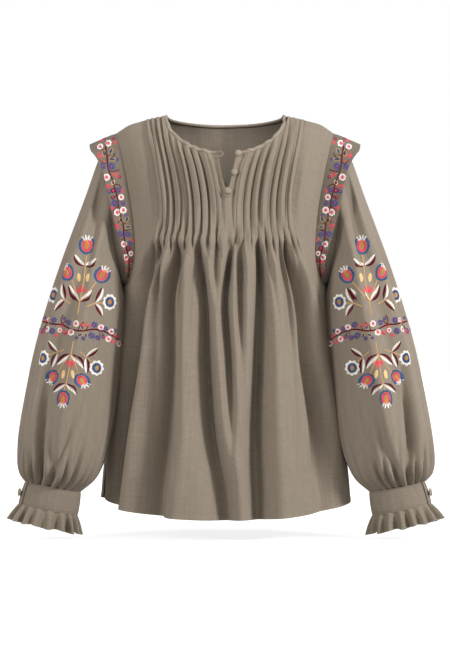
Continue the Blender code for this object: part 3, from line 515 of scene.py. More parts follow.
# front and back panels
tucks = {
    "count": 9, "height": (0.0040, 0.0019), "end": -0.198, "fade": 0.020, "atNeck": 0.45, "neckReach": 0.02,
    "stripShare": 0.064, "tuckShare": 0.609,
    "stripEdge": 0.09, "stripProfile": [(0, -0.5), (0.35, 0.3), (0.7, 0.95), (1, 1.0), (1.8, 0.80)],
    "at": [0.010, -0.012, -0.045, -0.085, -0.140, -0.180, -0.200, -0.240, -0.310, -0.450, -0.640],
    "innerX": [0.0450, 0.0420, 0.0380, 0.0245, 0.0150, 0.0135, 0.0130, 0.0140, 0.0165, 0.0200, 0.0240],
    "outerX": [0.1290, 0.1255, 0.1195, 0.1125, 0.1055, 0.1070, 0.1105, 0.1200, 0.1310, 0.1480, 0.1620],
    # profile of one tuck, from the groove at its outer side to the next groove
    "profile": [(0.0, -0.70), (0.025, -0.30), (0.05, 0.55), (0.09, 0.95), (0.15, 1.0), (0.25, 0.95),
                (0.40, 0.80), (0.56, 0.55), (0.70, 0.24), (0.82, -0.15), (0.92, -0.55), (1.0, -0.70)],
}
swell = {"sink": 0.0012,
         "at": [0.02, -0.185, -0.203, -0.226, -0.270, -0.330, -0.430, -0.640],
         "gathers": [0.0, 0.0, 0.65, 1.0, 0.62, 0.22, 0.06, 0.0],
         "folds": [0.0, 0.0, 0.02, 0.10, 0.38, 0.66, 0.86, 1.0]}
frontPanel = {
    "gathers": [(-1.00, 0.0), (-0.72, -0.1), (-0.605, 0.7), (-0.555, -0.8), (-0.520, 0.4), (-0.487, -0.1),
                (-0.427, 0.6), (-0.385, -0.7), (-0.350, 0.5), (-0.305, -0.2), (-0.255, 0.6), (-0.215, -0.6),
                (-0.185, 0.5), (-0.150, -0.3), (-0.118, 0.6), (-0.075, -0.7), (-0.030, 0.5), (0.005, -0.3),
                (0.040, 0.4), (0.072, -0.7), (0.110, 0.6), (0.150, -0.3), (0.185, 0.5), (0.230, -0.6),
                (0.270, 0.4), (0.305, -0.8), (0.345, 0.7), (0.400, -0.2), (0.440, 0.6), (0.487, -0.7),
                (0.530, 0.5), (0.560, -0.6), (0.612, 0.6), (0.700, -0.2), (1.00, 0.0)],
    "gatherRise": 0.0125,
    "releaseDepth": 0.0018, "releaseWidth": (0.0017, 0.035), "releaseFrom": 0.006, "releaseFade": 0.013,
    # the skirt stands out from the body, and these troughs run down it
    "lift": {"at": [-0.19, -0.24, -0.30, -0.38, -0.50, -0.64], "rise": [0.0, 0.0050, 0.0072, 0.0090, 0.0105, 0.0115]},
    "troughWidth": 0.00135, "troughDepth": 0.00215,      # metres for one unit of the table
    "troughLean": (1.35, 0.86), "lipHeight": 0.14, "lipAt": 2.2, "liftFade": 0.22,
    # where each stitched tuck lets go, from the outermost to the strip, left then right: depth and length in mm
    "release": [[(3.2, 30), (4.4, 56), (2.8, 24), (4.8, 70), (3.0, 34),
                 (4.6, 52), (2.6, 26), (5.0, 62), (3.4, 36), (4.2, 44)],
                [(3.6, 34), (2.6, 24), (4.6, 60), (3.2, 30), (4.8, 50),
                 (2.4, 28), (4.6, 66), (3.0, 30), (5.0, 54), (3.6, 32)]],
    "troughZ": [-0.200, -0.216, -0.294, -0.387, -0.511, -0.604, -0.640],
    "troughs": [
        {"x": [-0.1090, -0.1133, -0.1288, -0.1397, -0.1599, -0.1738, -0.178],
         "depth": [0, 7, 14, 17, 17, 14, 12], "width": [2.5, 3.4, 5.4, 6.4, 7.4, 9, 9]},
        {"x": [-0.0735, -0.0745, -0.0854, -0.0885, -0.0962, -0.1071, -0.110],
         "depth": [0, 7, 14, 18, 21, 20, 20], "width": [2.5, 3.4, 6, 8.5, 11, 13, 13]},
        {"x": [-0.0420, -0.0404, -0.0310, -0.0279, -0.0186, -0.0016, 0.002],
         "depth": [0, 7, 14, 17, 19, 18, 18], "width": [2.5, 3.4, 5.4, 7.5, 9.5, 12, 12]},
        {"x": [0.0100, 0.0093, 0.0016, 0.0062, 0.0093, 0.0093, 0.009],
         "depth": [0, 7, 11, 11, 5, 1, 0], "width": [2.5, 2.8, 4.4, 5, 6, 8, 8]},
        {"x": [0.0500, 0.0543, 0.0574, 0.0559, 0.0528, 0.0543, 0.055],
         "depth": [0, 8, 15, 19, 21, 20, 20], "width": [2.5, 3.8, 7, 8.5, 11, 13, 13]},
        {"x": [0.0930, 0.0978, 0.1195, 0.1288, 0.1459, 0.1490, 0.149],
         "depth": [0, 8, 13, 15, 13, 7, 6], "width": [2.5, 3.2, 5.4, 6.5, 8, 12, 12]},
        {"x": [-0.0980, -0.1010, -0.1070, -0.1100, -0.1150, -0.1200, -0.122],
         "depth": [0, 6, 6, 3, 1, 0, 0], "width": [2.0, 2.8, 3.8, 5, 6, 6, 6]},
        {"x": [-0.0660, -0.0680, -0.0698, -0.0700, -0.0705, -0.0720, -0.072],
         "depth": [0, 5, 6, 3, 1, 0, 0], "width": [2.0, 2.8, 3.4, 4, 5, 5, 5]},
        {"x": [0.0240, 0.0250, 0.0248, 0.0250, 0.0260, 0.0280, 0.028],
         "depth": [0, 6, 7, 3, 1, 0, 0], "width": [2.0, 2.8, 3.8, 5, 6, 6, 6]},
        {"x": [0.0850, 0.0880, 0.1000, 0.1040, 0.1070, 0.1100, 0.110],
         "depth": [0, 5, 7, 3, 1, 0, 0], "width": [2.0, 2.8, 4.2, 6, 6, 6, 6]},
    ],
    "rows": 150, "stripSteps": 13, "sideSteps": 24,
    # creases: x, z, half length, half width, lean in degrees, rise
    "creases": [(-0.150, -0.150, 0.030, 0.0045, 12, -0.0010), (-0.141, -0.200, 0.034, 0.0050, -8, 0.0011),
                (-0.133, -0.105, 0.026, 0.0050, 20, 0.0009), (0.148, -0.165, 0.028, 0.0045, -14, -0.0009),
                (0.138, -0.215, 0.030, 0.0055, 10, 0.0010), (0.000, -0.165, 0.016, 0.0030, 4, -0.0006),
                (-0.0135, -0.100, 0.011, 0.0020, 24, 0.0008), (-0.0160, -0.083, 0.008, 0.0018, 28, -0.0007),
                (0.142, -0.250, 0.022, 0.0050, 24, -0.0011), (-0.146, -0.252, 0.022, 0.0050, -26, -0.0011),
                (-0.0085, -0.214, 0.016, 0.0016, -6, -0.0026), (0.0030, -0.213, 0.014, 0.0014, 3, -0.0024),
                (0.0120, -0.215, 0.018, 0.0016, 8, -0.0028), (-0.0030, -0.220, 0.020, 0.0022, -2, 0.0016),
                (-0.150, -0.420, 0.070, 0.0070, 6, -0.0016), (0.160, -0.440, 0.080, 0.0080, -5, 0.0016),
                (-0.060, -0.480, 0.060, 0.0055, 3, 0.0010), (0.045, -0.520, 0.050, 0.0050, -2, -0.0009),
                (0.120, -0.340, 0.050, 0.0060, -9, 0.0013), (-0.110, -0.350, 0.050, 0.0055, 9, 0.0013)],
}
backPanel = {
    "gathers": [(-1.00, 0.0), (-0.70, 0.30), (-0.52, -0.42), (-0.36, 0.42), (-0.22, -0.42), (-0.08, 0.42),
                (0.05, -0.42), (0.19, 0.42), (0.34, -0.42), (0.50, 0.42), (0.72, -0.30), (1.00, 0.0)],
    "gatherRise": 0.0072,
    "folds": [(-1.00, 0.000), (-0.84, 0.009), (-0.70, -0.020), (-0.50, 0.012), (-0.33, -0.026),
              (-0.14, 0.012), (0.03, -0.022), (0.20, 0.013), (0.37, -0.025), (0.55, 0.012),
              (0.71, -0.019), (0.87, 0.008), (1.00, 0.000)],
    "rows": 110, "columns": 64,
    "creases": [(0.012, -0.060, 0.050, 0.0030, 2, 0.0007), (-0.016, -0.075, 0.045, 0.0034, -2, -0.0006),
                (0.004, -0.110, 0.060, 0.0028, 1, 0.0006), (-0.120, -0.160, 0.040, 0.0060, 16, 0.0014),
                (0.125, -0.175, 0.044, 0.0060, -14, 0.0014), (-0.070, -0.200, 0.060, 0.0065, 8, -0.0012),
                (0.060, -0.240, 0.070, 0.0065, -6, 0.0012), (-0.140, -0.330, 0.060, 0.0070, -8, 0.0016),
                (0.145, -0.350, 0.060, 0.0070, 9, -0.0014), (0.020, -0.380, 0.080, 0.0060, 2, 0.0012)],
}


def panelEdge(z):
    # half the girth, and how far out a panel reaches: to the side seam or the armhole
    halfWidth = smoothAt(bodyGirth, "halfWidth", z)
    edgeX = np.where(z > armpitZ, smoothAt(armhole, "x", z), halfWidth)
    return halfWidth, np.minimum(edgeX, halfWidth)


def frontColumnX(share, z):
    halfWidth, edgeX = panelEdge(z)
    turns = [turnAt(x, halfWidth) for x in (smoothAt(frontSlit, "halfWidth", z), smoothAt(tucks, "innerX", z),
                                            smoothAt(tucks, "outerX", z), edgeX)]
    shares = [0.0, tucks["stripShare"], tucks["tuckShare"], 1.0]
    turn = np.zeros(np.shape(share))
    for k in range(3):
        part = (share - shares[k]) / (shares[k + 1] - shares[k])
        inside = (share >= shares[k]) & (share <= shares[k + 1])
        turn = np.where(inside, turns[k] + part * (turns[k + 1] - turns[k]), turn)
    return placeAt(turn, halfWidth)


def backColumnX(share, z):
    halfWidth, edgeX = panelEdge(z)
    return placeAt(turnAt(edgeX, halfWidth) * share, halfWidth)


def tuckRise(share, z, topZ, sign):
    # how high the tucks and the edge of the middle strip stand
    span = tucks["tuckShare"] - tucks["stripShare"]
    place = (tucks["tuckShare"] - share) / span * tucks["count"]
    part = place - np.floor(place)
    tuck = np.interp(part, *zip(*tucks["profile"]))
    edgeWidth = tucks["stripEdge"] * span / tucks["count"]
    strip = np.interp((tucks["stripShare"] - share) / edgeWidth, *zip(*tucks["stripProfile"]))
    height = np.where(share <= tucks["stripShare"], strip, tuck)
    height = np.where(share > tucks["tuckShare"] - 1e-6, 0, height)
    letGo = smoothStep((z - (tucks["end"] - tucks["fade"])) / tucks["fade"])
    atNeck = tucks["atNeck"] + (1 - tucks["atNeck"]) * np.clip((topZ - z) / tucks["neckReach"], 0, 1)
    return np.where(sign < 0, *tucks["height"]) * height * letGo * atNeck


def creaseRise(creases, x, z):
    total = np.zeros(np.shape(x))
    for cx, cz, halfLong, halfWide, lean, rise in creases:
        angle = math.radians(lean)
        along = (z - cz) * math.cos(angle) + (x - cx) * math.sin(angle)
        across = (x - cx) * math.cos(angle) - (z - cz) * math.sin(angle)
        across = across - 0.10 * along * along / halfLong            # creases bow a little
        total += rise * np.exp(-(across / halfWide) ** 2) * np.exp(-(along / halfLong) ** 2 * 1.4)
    return total


def pinched(wave):
    # broad crests with narrow troughs between them
    return 1 - 2 * (1 - np.clip((wave + 1) / 2, 0, 1)) ** 2


def panelGrid(shares, rows, isFront):
    # outer side, inner side and normals of a panel, at shares of its width and rows of its height
    panel = frontPanel if isFront else backPanel
    sign = np.where(np.signbit(shares), -1.0, 1.0)
    half = np.abs(shares)
    column = frontColumnX if isFront else backColumnX
    neckZ = neckHole["frontZ"] if isFront else neckHole["backZ"]
    field = "frontDepth" if isFront else "backDepth"
    # each column's top, halved down to where it meets the neck or the shoulder
    high, low = np.full(half.shape, 0.02), np.full(half.shape, -0.10)
    for _ in range(40):
        middle = (high + low) / 2
        above = middle > topEdge(column(half, middle), neckZ)
        high, low = np.where(above, middle, high), np.where(above, low, middle)
    topZ = (high + low) / 2
    drop = hem["frontDrop"] if isFront else hem["backDrop"]
    hemZ = hem["sideZ"] - drop * np.cos(half * math.pi / 2) ** hem["curve"]
    z = topZ + np.asarray(rows)[:, None] * (hemZ - topZ)
    fromHem = z - hemZ
    topZ = np.broadcast_to(topZ, z.shape)
    half = np.broadcast_to(half, z.shape)
    x = column(half, z)
    y = bodyDepth(x, z, field)
    side = -1 if isFront else 1
    plain = np.stack([x * sign, y * side, z], axis=2)
    if isFront:
        plain[:, :, 0] += slitShift * (1 - half) ** 2
    facing = np.sign(shares[-1] - shares[0]) * -side
    atSeam = np.abs(plain[:, :, 1]) < 0.0003

    def outwards(points):
        # out of the garment, and level across the side seams and shoulders
        normal = gridNormals(points) * facing
        normal[:, :, 1] = np.where(atSeam, 0, normal[:, :, 1])
        return unit(normal)

    normal = outwards(plain)
    signed = np.broadcast_to(shares, z.shape)
    gathers = pinched(foldRise(panel["gathers"], signed)) * panel["gatherRise"] * 0.5
    gathers = (gathers - swell["sink"]) * smoothAt(swell, "gathers", z)
    if isFront:
        height = gathers + smoothAt(panel["lift"], "rise", z) * np.clip((1 - half) / panel["liftFade"], 0, 1)
        for trough in panel["troughs"]:
            lines = {"at": panel["troughZ"], **trough}
            away = (plain[:, :, 0] - smoothAt(lines, "x", z)) / (smoothAt(lines, "width", z) * panel["troughWidth"])
            deep = np.clip(smoothAt(lines, "depth", z), 0, None) * panel["troughDepth"]
            # a long slope on the left, a steep wall on the right with a lip above it
            away = away / np.where(away < 0, panel["troughLean"][0], panel["troughLean"][1])
            lip = panel["lipHeight"] * np.exp(-(away - panel["lipAt"]) ** 2)
            height = height - deep * (np.exp(-np.abs(away) ** 1.8) - lip)
        below = np.clip(tucks["end"] - z, 0, None)
        begun = smoothStep((tucks["end"] + panel["releaseFrom"] - z) / panel["releaseFade"])
        narrow, widening = panel["releaseWidth"]
        span = (tucks["tuckShare"] - tucks["stripShare"]) / tucks["count"]
        for handed, lengths in zip((-1, 1), panel["release"]):
            for k, (deep, long) in enumerate(lengths):
                lineX = column(np.full(z.shape, tucks["tuckShare"] - k * span), z) * handed + slitShift * 0.3
                away = (plain[:, :, 0] - lineX) / (narrow + widening * below)
                faded = np.exp(-below / (long * 0.001)) * np.exp(-away**2)
                height = height - deep * panel["releaseDepth"] * begun * faded
    else:
        height = gathers + foldRise(panel["folds"], signed) * smoothAt(swell, "folds", z)
    edgeFree = np.clip((1 - half) / 0.05, 0, 1)
    height = height + creaseRise(panel["creases"], plain[:, :, 0], z) * edgeFree
    base = plain + normal * height[:, :, None]
    normal = outwards(base)
    inner = base - normal * thinCloth
    raised = tuckRise(half, z, topZ, np.broadcast_to(sign, z.shape)) if isFront else np.zeros(z.shape)
    turned = hem["turnRise"] * smoothStep((hem["turnUp"] - fromHem) / hem["turnEdge"])
    sewn = np.exp(-((fromHem - hem["turnUp"] + hem["grooveAt"]) / hem["grooveWidth"]) ** 2)
    outer = base + normal * (raised + turned - hem["grooveDepth"] * sewn)[:, :, None]
    return outer, inner - normal * (turned * 0.6 - np.minimum(raised, 0))[:, :, None], normal


def frontSideShares():
    pitch = (tucks["tuckShare"] - tucks["stripShare"]) / tucks["count"]
    edgeWidth = tucks["stripEdge"] * pitch
    strip = [0.0] + list(np.linspace(0, tucks["stripShare"] - edgeWidth * 1.6, frontPanel["stripSteps"])[1:])
    strip += [tucks["stripShare"] - edgeWidth * k for k in (1.0, 0.7, 0.35)]
    shares = list(strip)
    parts = sorted({1 - key for key, _ in tucks["profile"]})[:-1]     # inner groove first
    for tuck in range(tucks["count"]):
        groove = tucks["stripShare"] + tuck * pitch
        shares += [groove + part * pitch for part in parts]
    shares += list(np.linspace(tucks["tuckShare"], 1, frontPanel["sideSteps"]))
    return np.array(shares)


def panelRows(count, length=0.60):
    turn = hem["turnUp"] / length
    return np.concatenate([np.linspace(0, 1 - turn * 1.35, count - 6),
                           1 - turn * np.array([1.06, 0.96, 0.84, 0.70, 0.35, 0.0])])


frontHalf = frontSideShares()
frontShares = np.concatenate([-frontHalf[::-1], frontHalf])
backHalf = np.linspace(0, 1, backPanel["columns"] + 1)
backShares = np.concatenate([-backHalf[:0:-1], backHalf])
frontRows, backRows = panelRows(frontPanel["rows"]), panelRows(backPanel["rows"])
frontOuter, frontInner, frontNormal = panelGrid(frontShares, frontRows, True)
backOuter, backInner, backNormal = panelGrid(backShares, backRows, False)
middleCell = len(frontShares) // 2 - 1
slitCells = np.zeros((len(frontRows) - 1, len(frontShares) - 1), bool)
slitCells[:, middleCell] = frontOuter[1:, middleCell, 2] > slitBase
frontPiece = settle(makeShell("front_cloth", frontOuter, frontInner, clothLengths(frontInner),
                              linen("linenFront", "front"), openCells=slitCells), "front")
backPiece = settle(makeShell("back_cloth", backOuter, backInner, clothLengths(backInner),
                             linen("linenBack", "back")), "back")
print("front and back hung:", len(frontPiece.data.polygons), len(backPiece.data.polygons), "faces")

# sleeves, set into the armholes
sleeveCut = {
    # rings from the armhole to the cuff: outer and inner side, middle and half depth
    "at": list(range(1, 13)),
    "outerX": [0.1960, 0.2085, 0.2215, 0.2380, 0.2560, 0.2750, 0.2950, 0.3110, 0.3225, 0.3235, 0.3185, 0.3130],
    "outerZ": [-0.0520, -0.0860, -0.1260, -0.1750, -0.2300, -0.2920,
               -0.3650, -0.4400, -0.5050, -0.5430, -0.5650, -0.5775],
    "innerX": [0.1635, 0.1604, 0.1584, 0.1572, 0.1576, 0.1604, 0.1655, 0.1715, 0.1795, 0.1900, 0.2050, 0.2272],
    "innerZ": [-0.2760, -0.2810, -0.2900, -0.3040, -0.3260, -0.3620,
               -0.4100, -0.4600, -0.5080, -0.5450, -0.5740, -0.5945],
    "innerShift": [-0.003, -0.016, -0.016, -0.002, 0.014, 0.024, 0.026, 0.020, 0.010, 0.004, 0.0, 0.0],
    "pinch": [0.0, 0.0, 0.08, 0.26, 0.46, 0.54, 0.54, 0.50, 0.38, 0.22, 0.06, 0.0],
    "midY": [-0.001, -0.004, -0.012, -0.028, -0.048, -0.062, -0.070, -0.073, -0.073, -0.073, -0.073, -0.073],
    "halfDepth": [0.054, 0.056, 0.059, 0.063, 0.066, 0.066, 0.066, 0.066, 0.064, 0.057, 0.043, 0.0240],
    "head": [1.0, 1.0, 0.9, 0.7, 0.5, 0.25, 0.1, 0.0, 0.0, 0.0, 0.0, 0.0],
    "folds": [0.0, 0.1, 0.3, 0.5, 0.7, 0.9, 1.0, 1.0, 0.9, 0.6, 0.3, 0.0],
    "gathers": [0.0, 0.0, 0.0, 0.0, 0.0, 0.0, 0.0, 0.05, 0.22, 0.85, 1.30, 0.70],
    "gatherCount": 22, "gatherRise": 0.0060, "aroundPerGather": 8, "rowsPerRing": 9,
    "creaseDepth": 1.9, "deepFrom": 7.9,      # creases below this ring are deepened
    # folds down the sleeve, in turns round it: 0 outer, 0.25 front, 0.5 inner, 0.75 back
    "longFolds": [(0.00, 0.003), (0.055, -0.006), (0.115, 0.005), (0.175, -0.007), (0.245, 0.005),
                  (0.335, -0.005), (0.400, 0.002), (0.50, 0.0), (0.595, 0.003), (0.665, -0.005),
                  (0.745, 0.005), (0.830, -0.006), (0.910, 0.004), (0.965, -0.003), (1.00, 0.003)],
    "headFolds": [(0.00, 0.0), (0.06, -0.8), (0.12, 0.6), (0.17, -1.0), (0.23, 0.5), (0.29, -0.9),
                  (0.36, 0.2), (0.50, 0.0), (0.64, 0.2), (0.71, -0.8), (0.77, 0.6), (0.83, -1.0),
                  (0.88, 0.6), (0.94, -0.8), (1.00, 0.0)],
    "headRise": 0.0042,
    # creases: turn, ring, half width in turns, half length in rings, slant, rise
    "creases": [(0.155, 9.0, 0.014, 1.7, 0.010, -0.0085), (0.258, 9.5, 0.013, 1.5, -0.012, -0.0070),
                (0.215, 9.6, 0.012, 1.0, 0.006, -0.0035), (0.330, 9.4, 0.014, 1.3, -0.010, -0.0055),
                (0.085, 9.4, 0.012, 1.2, 0.010, -0.0050), (0.118, 9.8, 0.010, 0.8, 0.0, -0.0030),
                (0.295, 8.0, 0.016, 1.6, -0.010, -0.0035), (0.370, 8.4, 0.014, 1.7, 0.012, -0.0040),
                (0.105, 3.2, 0.020, 1.6, 0.010, -0.0040), (0.200, 3.8, 0.016, 1.9, 0.014, -0.0045),
                (0.285, 5.2, 0.018, 1.8, 0.012, -0.0035), (0.345, 6.2, 0.020, 1.8, 0.010, -0.0035),
                (0.040, 5.0, 0.020, 2.2, 0.010, -0.0030), (0.060, 7.6, 0.018, 1.8, 0.010, 0.0025),
                (0.920, 6.0, 0.018, 2.2, 0.010, -0.0040), (0.700, 5.0, 0.018, 2.0, -0.012, -0.0040),
                (0.800, 9.0, 0.014, 1.7, 0.010, -0.0075), (0.700, 9.4, 0.014, 1.5, -0.010, -0.0065),
                (0.880, 3.2, 0.018, 1.6, -0.010, -0.0040), (0.372, 2.8, 0.032, 1.4, 0.0, -0.0090),
                (0.140, 2.2, 0.022, 1.5, 0.012, -0.0055), (0.620, 9.0, 0.014, 1.5, -0.010, -0.0050)],
    "tuckIn": 0.0016,
}


def armholeEdge(side, isFront):
    half = frontHalf if isFront else backHalf
    rows = np.linspace(0, 0.425, 70)
    outer, _, normal = panelGrid(half[-4:] * side, rows, isFront)
    return np.hstack([outer[:, -1], normal[:, -1]])


def armholeLoop(side, count):
    # the armhole's seam from the shoulder down the front and up the back
    down = evenly(armholeEdge(side, True), count // 2 + 1)
    up = evenly(armholeEdge(side, False), count // 2 + 1)[::-1]
    loop = np.vstack([down[:-1], up[:-1]])
    loop[[0, count // 2], 1] = 0
    return loop[:, :3], unit(loop[:, 3:])


def ringPoints(ring, turns, side, bulge=0.0):
    outerX, outerZ, innerX, innerZ, midY, halfDepth = ring
    outer, inner = np.array([outerX * side, 0, outerZ]), np.array([innerX * side, 0, innerZ])
    centre = (outer + inner) / 2 + np.array([0, midY, 0])
    reach, ahead = (outer - inner) / 2, np.array([0, -halfDepth, 0])
    cos, sin = np.cos(turns * 2 * math.pi)[:, None], np.sin(turns * 2 * math.pi)[:, None]
    out = unit(reach * cos / (reach @ reach) + ahead * sin / (ahead @ ahead))
    return centre + reach * cos + ahead * sin + out * np.reshape(bulge, (-1, 1)), out


def sleeveAt(field, ring):
    return float(smoothAt(sleeveCut, field, ring))


def sleeveRing(ring):
    return [sleeveAt(field, ring) for field in ("outerX", "outerZ", "innerX", "innerZ", "midY", "halfDepth")]


def gatherWave(turns, side):
    # gathers round the cuff end, uneven in place and height
    phase = turns * sleeveCut["gatherCount"]
    phase = phase + 0.16 * np.sin(turns * 2 * math.pi * 3 + side) + 0.10 * np.sin(turns * 2 * math.pi * 7)
    wave = 0.5 - 0.5 * np.cos(phase * 2 * math.pi)
    return 1.75 * wave ** 0.62 - 1.0 + 0.22 * np.sin(turns * 2 * math.pi * 5 + 1.3 * side)


def sleeveSurface(side):
    columns = sleeveCut["gatherCount"] * sleeveCut["aroundPerGather"]
    columns += columns % 2
    turns = np.arange(columns) / columns
    seam, seamNormal = armholeLoop(side, columns)
    gather = gatherWave(turns, side) * sleeveCut["gatherRise"]
    free = np.clip(1 - np.cos((turns - 0.5) * 2 * math.pi) * 1.4, 0, 1)
    rings, places = [], []
    atRings = np.concatenate([np.linspace(0, 1, 8)[:-1], np.linspace(1, 12, 11 * sleeveCut["rowsPerRing"] + 1)])
    for at in atRings:
        ring = max(at, 1.0)
        bulge = (foldRise(sleeveCut["headFolds"], turns) * sleeveCut["headRise"] * sleeveAt("head", ring)
                 + foldRise(sleeveCut["longFolds"], turns) * sleeveAt("folds", ring)) * free
        for turn, mid, wide, long, slant, rise in sleeveCut["creases"]:
            away = (turns - turn - slant * (ring - mid) + 0.5) % 1 - 0.5
            deep = rise * (sleeveCut["creaseDepth"] if mid > sleeveCut["deepFrom"] else 1.0)
            bulge = bulge + deep * np.exp(-(away / wide) ** 2 - ((ring - mid) / long) ** 2) * free
        bulge = bulge + gather * sleeveAt("gathers", ring) * (0.4 + 0.6 * free)
        points = ringPoints(sleeveRing(ring), turns, side, bulge)[0]
        # towards the body the sleeve is flatter, and under the arm it lies just in front of it
        inward = np.clip(-np.cos(turns * 2 * math.pi), 0, 1)
        middle = sleeveAt("midY", ring)
        points[:, 1] = middle + (points[:, 1] - middle) * (1 - sleeveAt("pinch", ring) * inward**1.5)
        points[:, 1] += sleeveAt("innerShift", ring) * inward**2
        if at < 1:
            points = seam * (1 - at) + points * at
        rings.append(points)
        places.append(at)
    outer = np.array(rings)
    # the gathered end runs a little way up into the cuff
    last = outer[-1] + unit(outer[-1] - outer[-3]) * sleeveCut["tuckIn"]
    last += (outer[-1].mean(axis=0) - outer[-1]) * 0.03
    outer = np.concatenate([outer, last[None]])
    normal = gridNormals(outer, wrap=True)
    normal *= np.sign(np.sum(normal[0] * seamNormal))
    ease = np.zeros(outer.shape[:2])
    ease[0], ease[1], ease[2] = -0.0004, 0.0002, 0.0001     # the seam lies in a slight groove
    outer = outer + normal * ease[:, :, None]
    return outer, normal, seamNormal


sleeves = {}
for word, side in (("left", -1), ("right", 1)):
    outer, normal, seamNormal = sleeveSurface(side)
    inner = outer - normal * thinCloth
    piece = makeShell("sleeve_cloth_" + word, outer, inner, clothLengths(outer, wrap=True),
                      linen("linenSleeve_" + word, "sleeve"), wrap=True)
    settle(piece, "sleeve_" + word)
    sleeves[word] = {"piece": piece, "outer": outer, "normal": normal, "seamNormal": seamNormal, "side": side}
print("sleeves set in:", len(piece.data.polygons), "faces each")

# flanges over the sleeve heads
flangeCut = {
    "at": [0.00, 0.10, 0.22, 0.32, 0.40, 0.45, 0.50, 0.55, 0.60, 0.68, 0.78, 0.90, 1.00],
    "width": [0.0060, 0.0190, 0.0340, 0.0400, 0.0445, 0.0460, 0.0465, 0.0460, 0.0445, 0.0400, 0.0340, 0.0190, 0.0060],
    "flare": [0.10, 0.40, 0.55, 0.45, 0.06, -0.26, -0.42, -0.26, 0.06, 0.45, 0.55, 0.40, 0.10],
    "startSteps": 4 / 48, "startLift": 0.0006, "liftOff": 0.0018, "slope": 0.10, "across": 22,
    "ripples": [(0.0, 0.0), (0.12, 0.0012), (0.22, -0.0012), (0.34, 0.0010), (0.46, -0.0006), (0.58, 0.0010),
                (0.70, -0.0012), (0.82, 0.0012), (0.92, -0.0006), (1.0, 0.0)],
}


def makeFlange(word):
    sleeve = sleeves[word]
    outer, normal, seamNormal, side = (sleeve[k] for k in ("outer", "normal", "seamNormal", "side"))
    count = len(seamNormal)
    half = count // 2 - round(flangeCut["startSteps"] * count)
    order = np.arange(half, -half - 1, -1)
    seam = outer[0, order]
    lift = unit(unit(normal[2, order]) + seamNormal[order])
    for _ in range(4):
        lift[1:-1] = unit(lift[:-2] + lift[1:-1] * 2 + lift[2:])
    place = runLength(seam)
    place = place / place[-1]
    width = smoothAt(flangeCut, "width", place)[:, None]
    flare = smoothAt(flangeCut, "flare", place)[:, None]
    radial = seam - np.array([0, 0, (seam[:, 2].max() + seam[:, 2].min()) / 2])
    radial[:, 0] = 0
    reach = unit(np.array([side, 0.0, 0.0]) + unit(radial) * flare)
    off = np.sum(reach * normal[2, order], axis=1, keepdims=True)
    reach = unit(reach + normal[2, order] * np.clip(flangeCut["slope"] - off, 0, None))
    across = np.linspace(0, 1, flangeCut["across"])
    low, high = flangeCut["startLift"], flangeCut["liftOff"]
    grid = np.array([seam + lift * (low + (high - low) * min(1, share * 6)) + reach * width * share
                     for share in across])
    wall = gridNormals(grid)
    wall *= np.sign(np.sum(wall * lift[None]))
    ripple = foldRise(flangeCut["ripples"], place)
    grid = grid + wall * (ripple[None, :] * (across**1.5)[:, None])[:, :, None]
    # the wing is folded double, so its free edge is a soft fold
    edge = np.clip((across - 0.97) / 0.03, 0, 1)[:, None, None]
    grid = grid - wall * 0.0003 * edge
    thick = 0.0013 * np.sqrt(np.clip(1 - edge**2, 0.15, 1))
    piece = makeShell("flange_cloth_" + word, grid, grid - wall * thick, clothLengths(grid),
                      linen("linenFlange_" + word, "flange"))
    settle(piece, "flange_" + word)
    return piece, grid, wall


flanges = {word: makeFlange(word) for word in sleeves}
print("flanges set over the sleeve heads")

# cuffs and frills
cuffCut = {
    "top": (0.3142, -0.5782, 0.2261, -0.5953, -0.073, 0.0260),
    "end": (0.3245, -0.6123, 0.2311, -0.6312, -0.073, 0.0270),
    "lap": 0.110, "lapAt": 0.078, "around": 150, "rows": 22, "wall": 0.0014, "height": 0.0355,
    "overrun": 0.015, "seamAt": 0.0022, "buttonAt": 0.032,
    "creases": [(0.16, 0.30, 0.014, 0.5, -0.0006), (0.24, 0.6, 0.012, 0.6, 0.0006), (0.33, 0.4, 0.014, 0.5, -0.0006),
                (0.45, 0.5, 0.016, 0.6, 0.0005), (0.60, 0.5, 0.014, 0.6, -0.0005), (0.75, 0.4, 0.016, 0.6, 0.0005),
                (0.88, 0.6, 0.014, 0.5, -0.0005)],
}
frillCut = {
    "top": (0.3250, -0.6127, 0.2309, -0.6317, -0.073, 0.0272),
    "end": (0.3370, -0.6375, 0.2285, -0.6600, -0.073, 0.0360),
    "waves": 17, "rise": 0.0066, "gap": 0.012, "pointsPerWave": 14, "rows": 20,
}


def between(first, second, share):
    return [a + (b - a) * share for a, b in zip(first, second)]


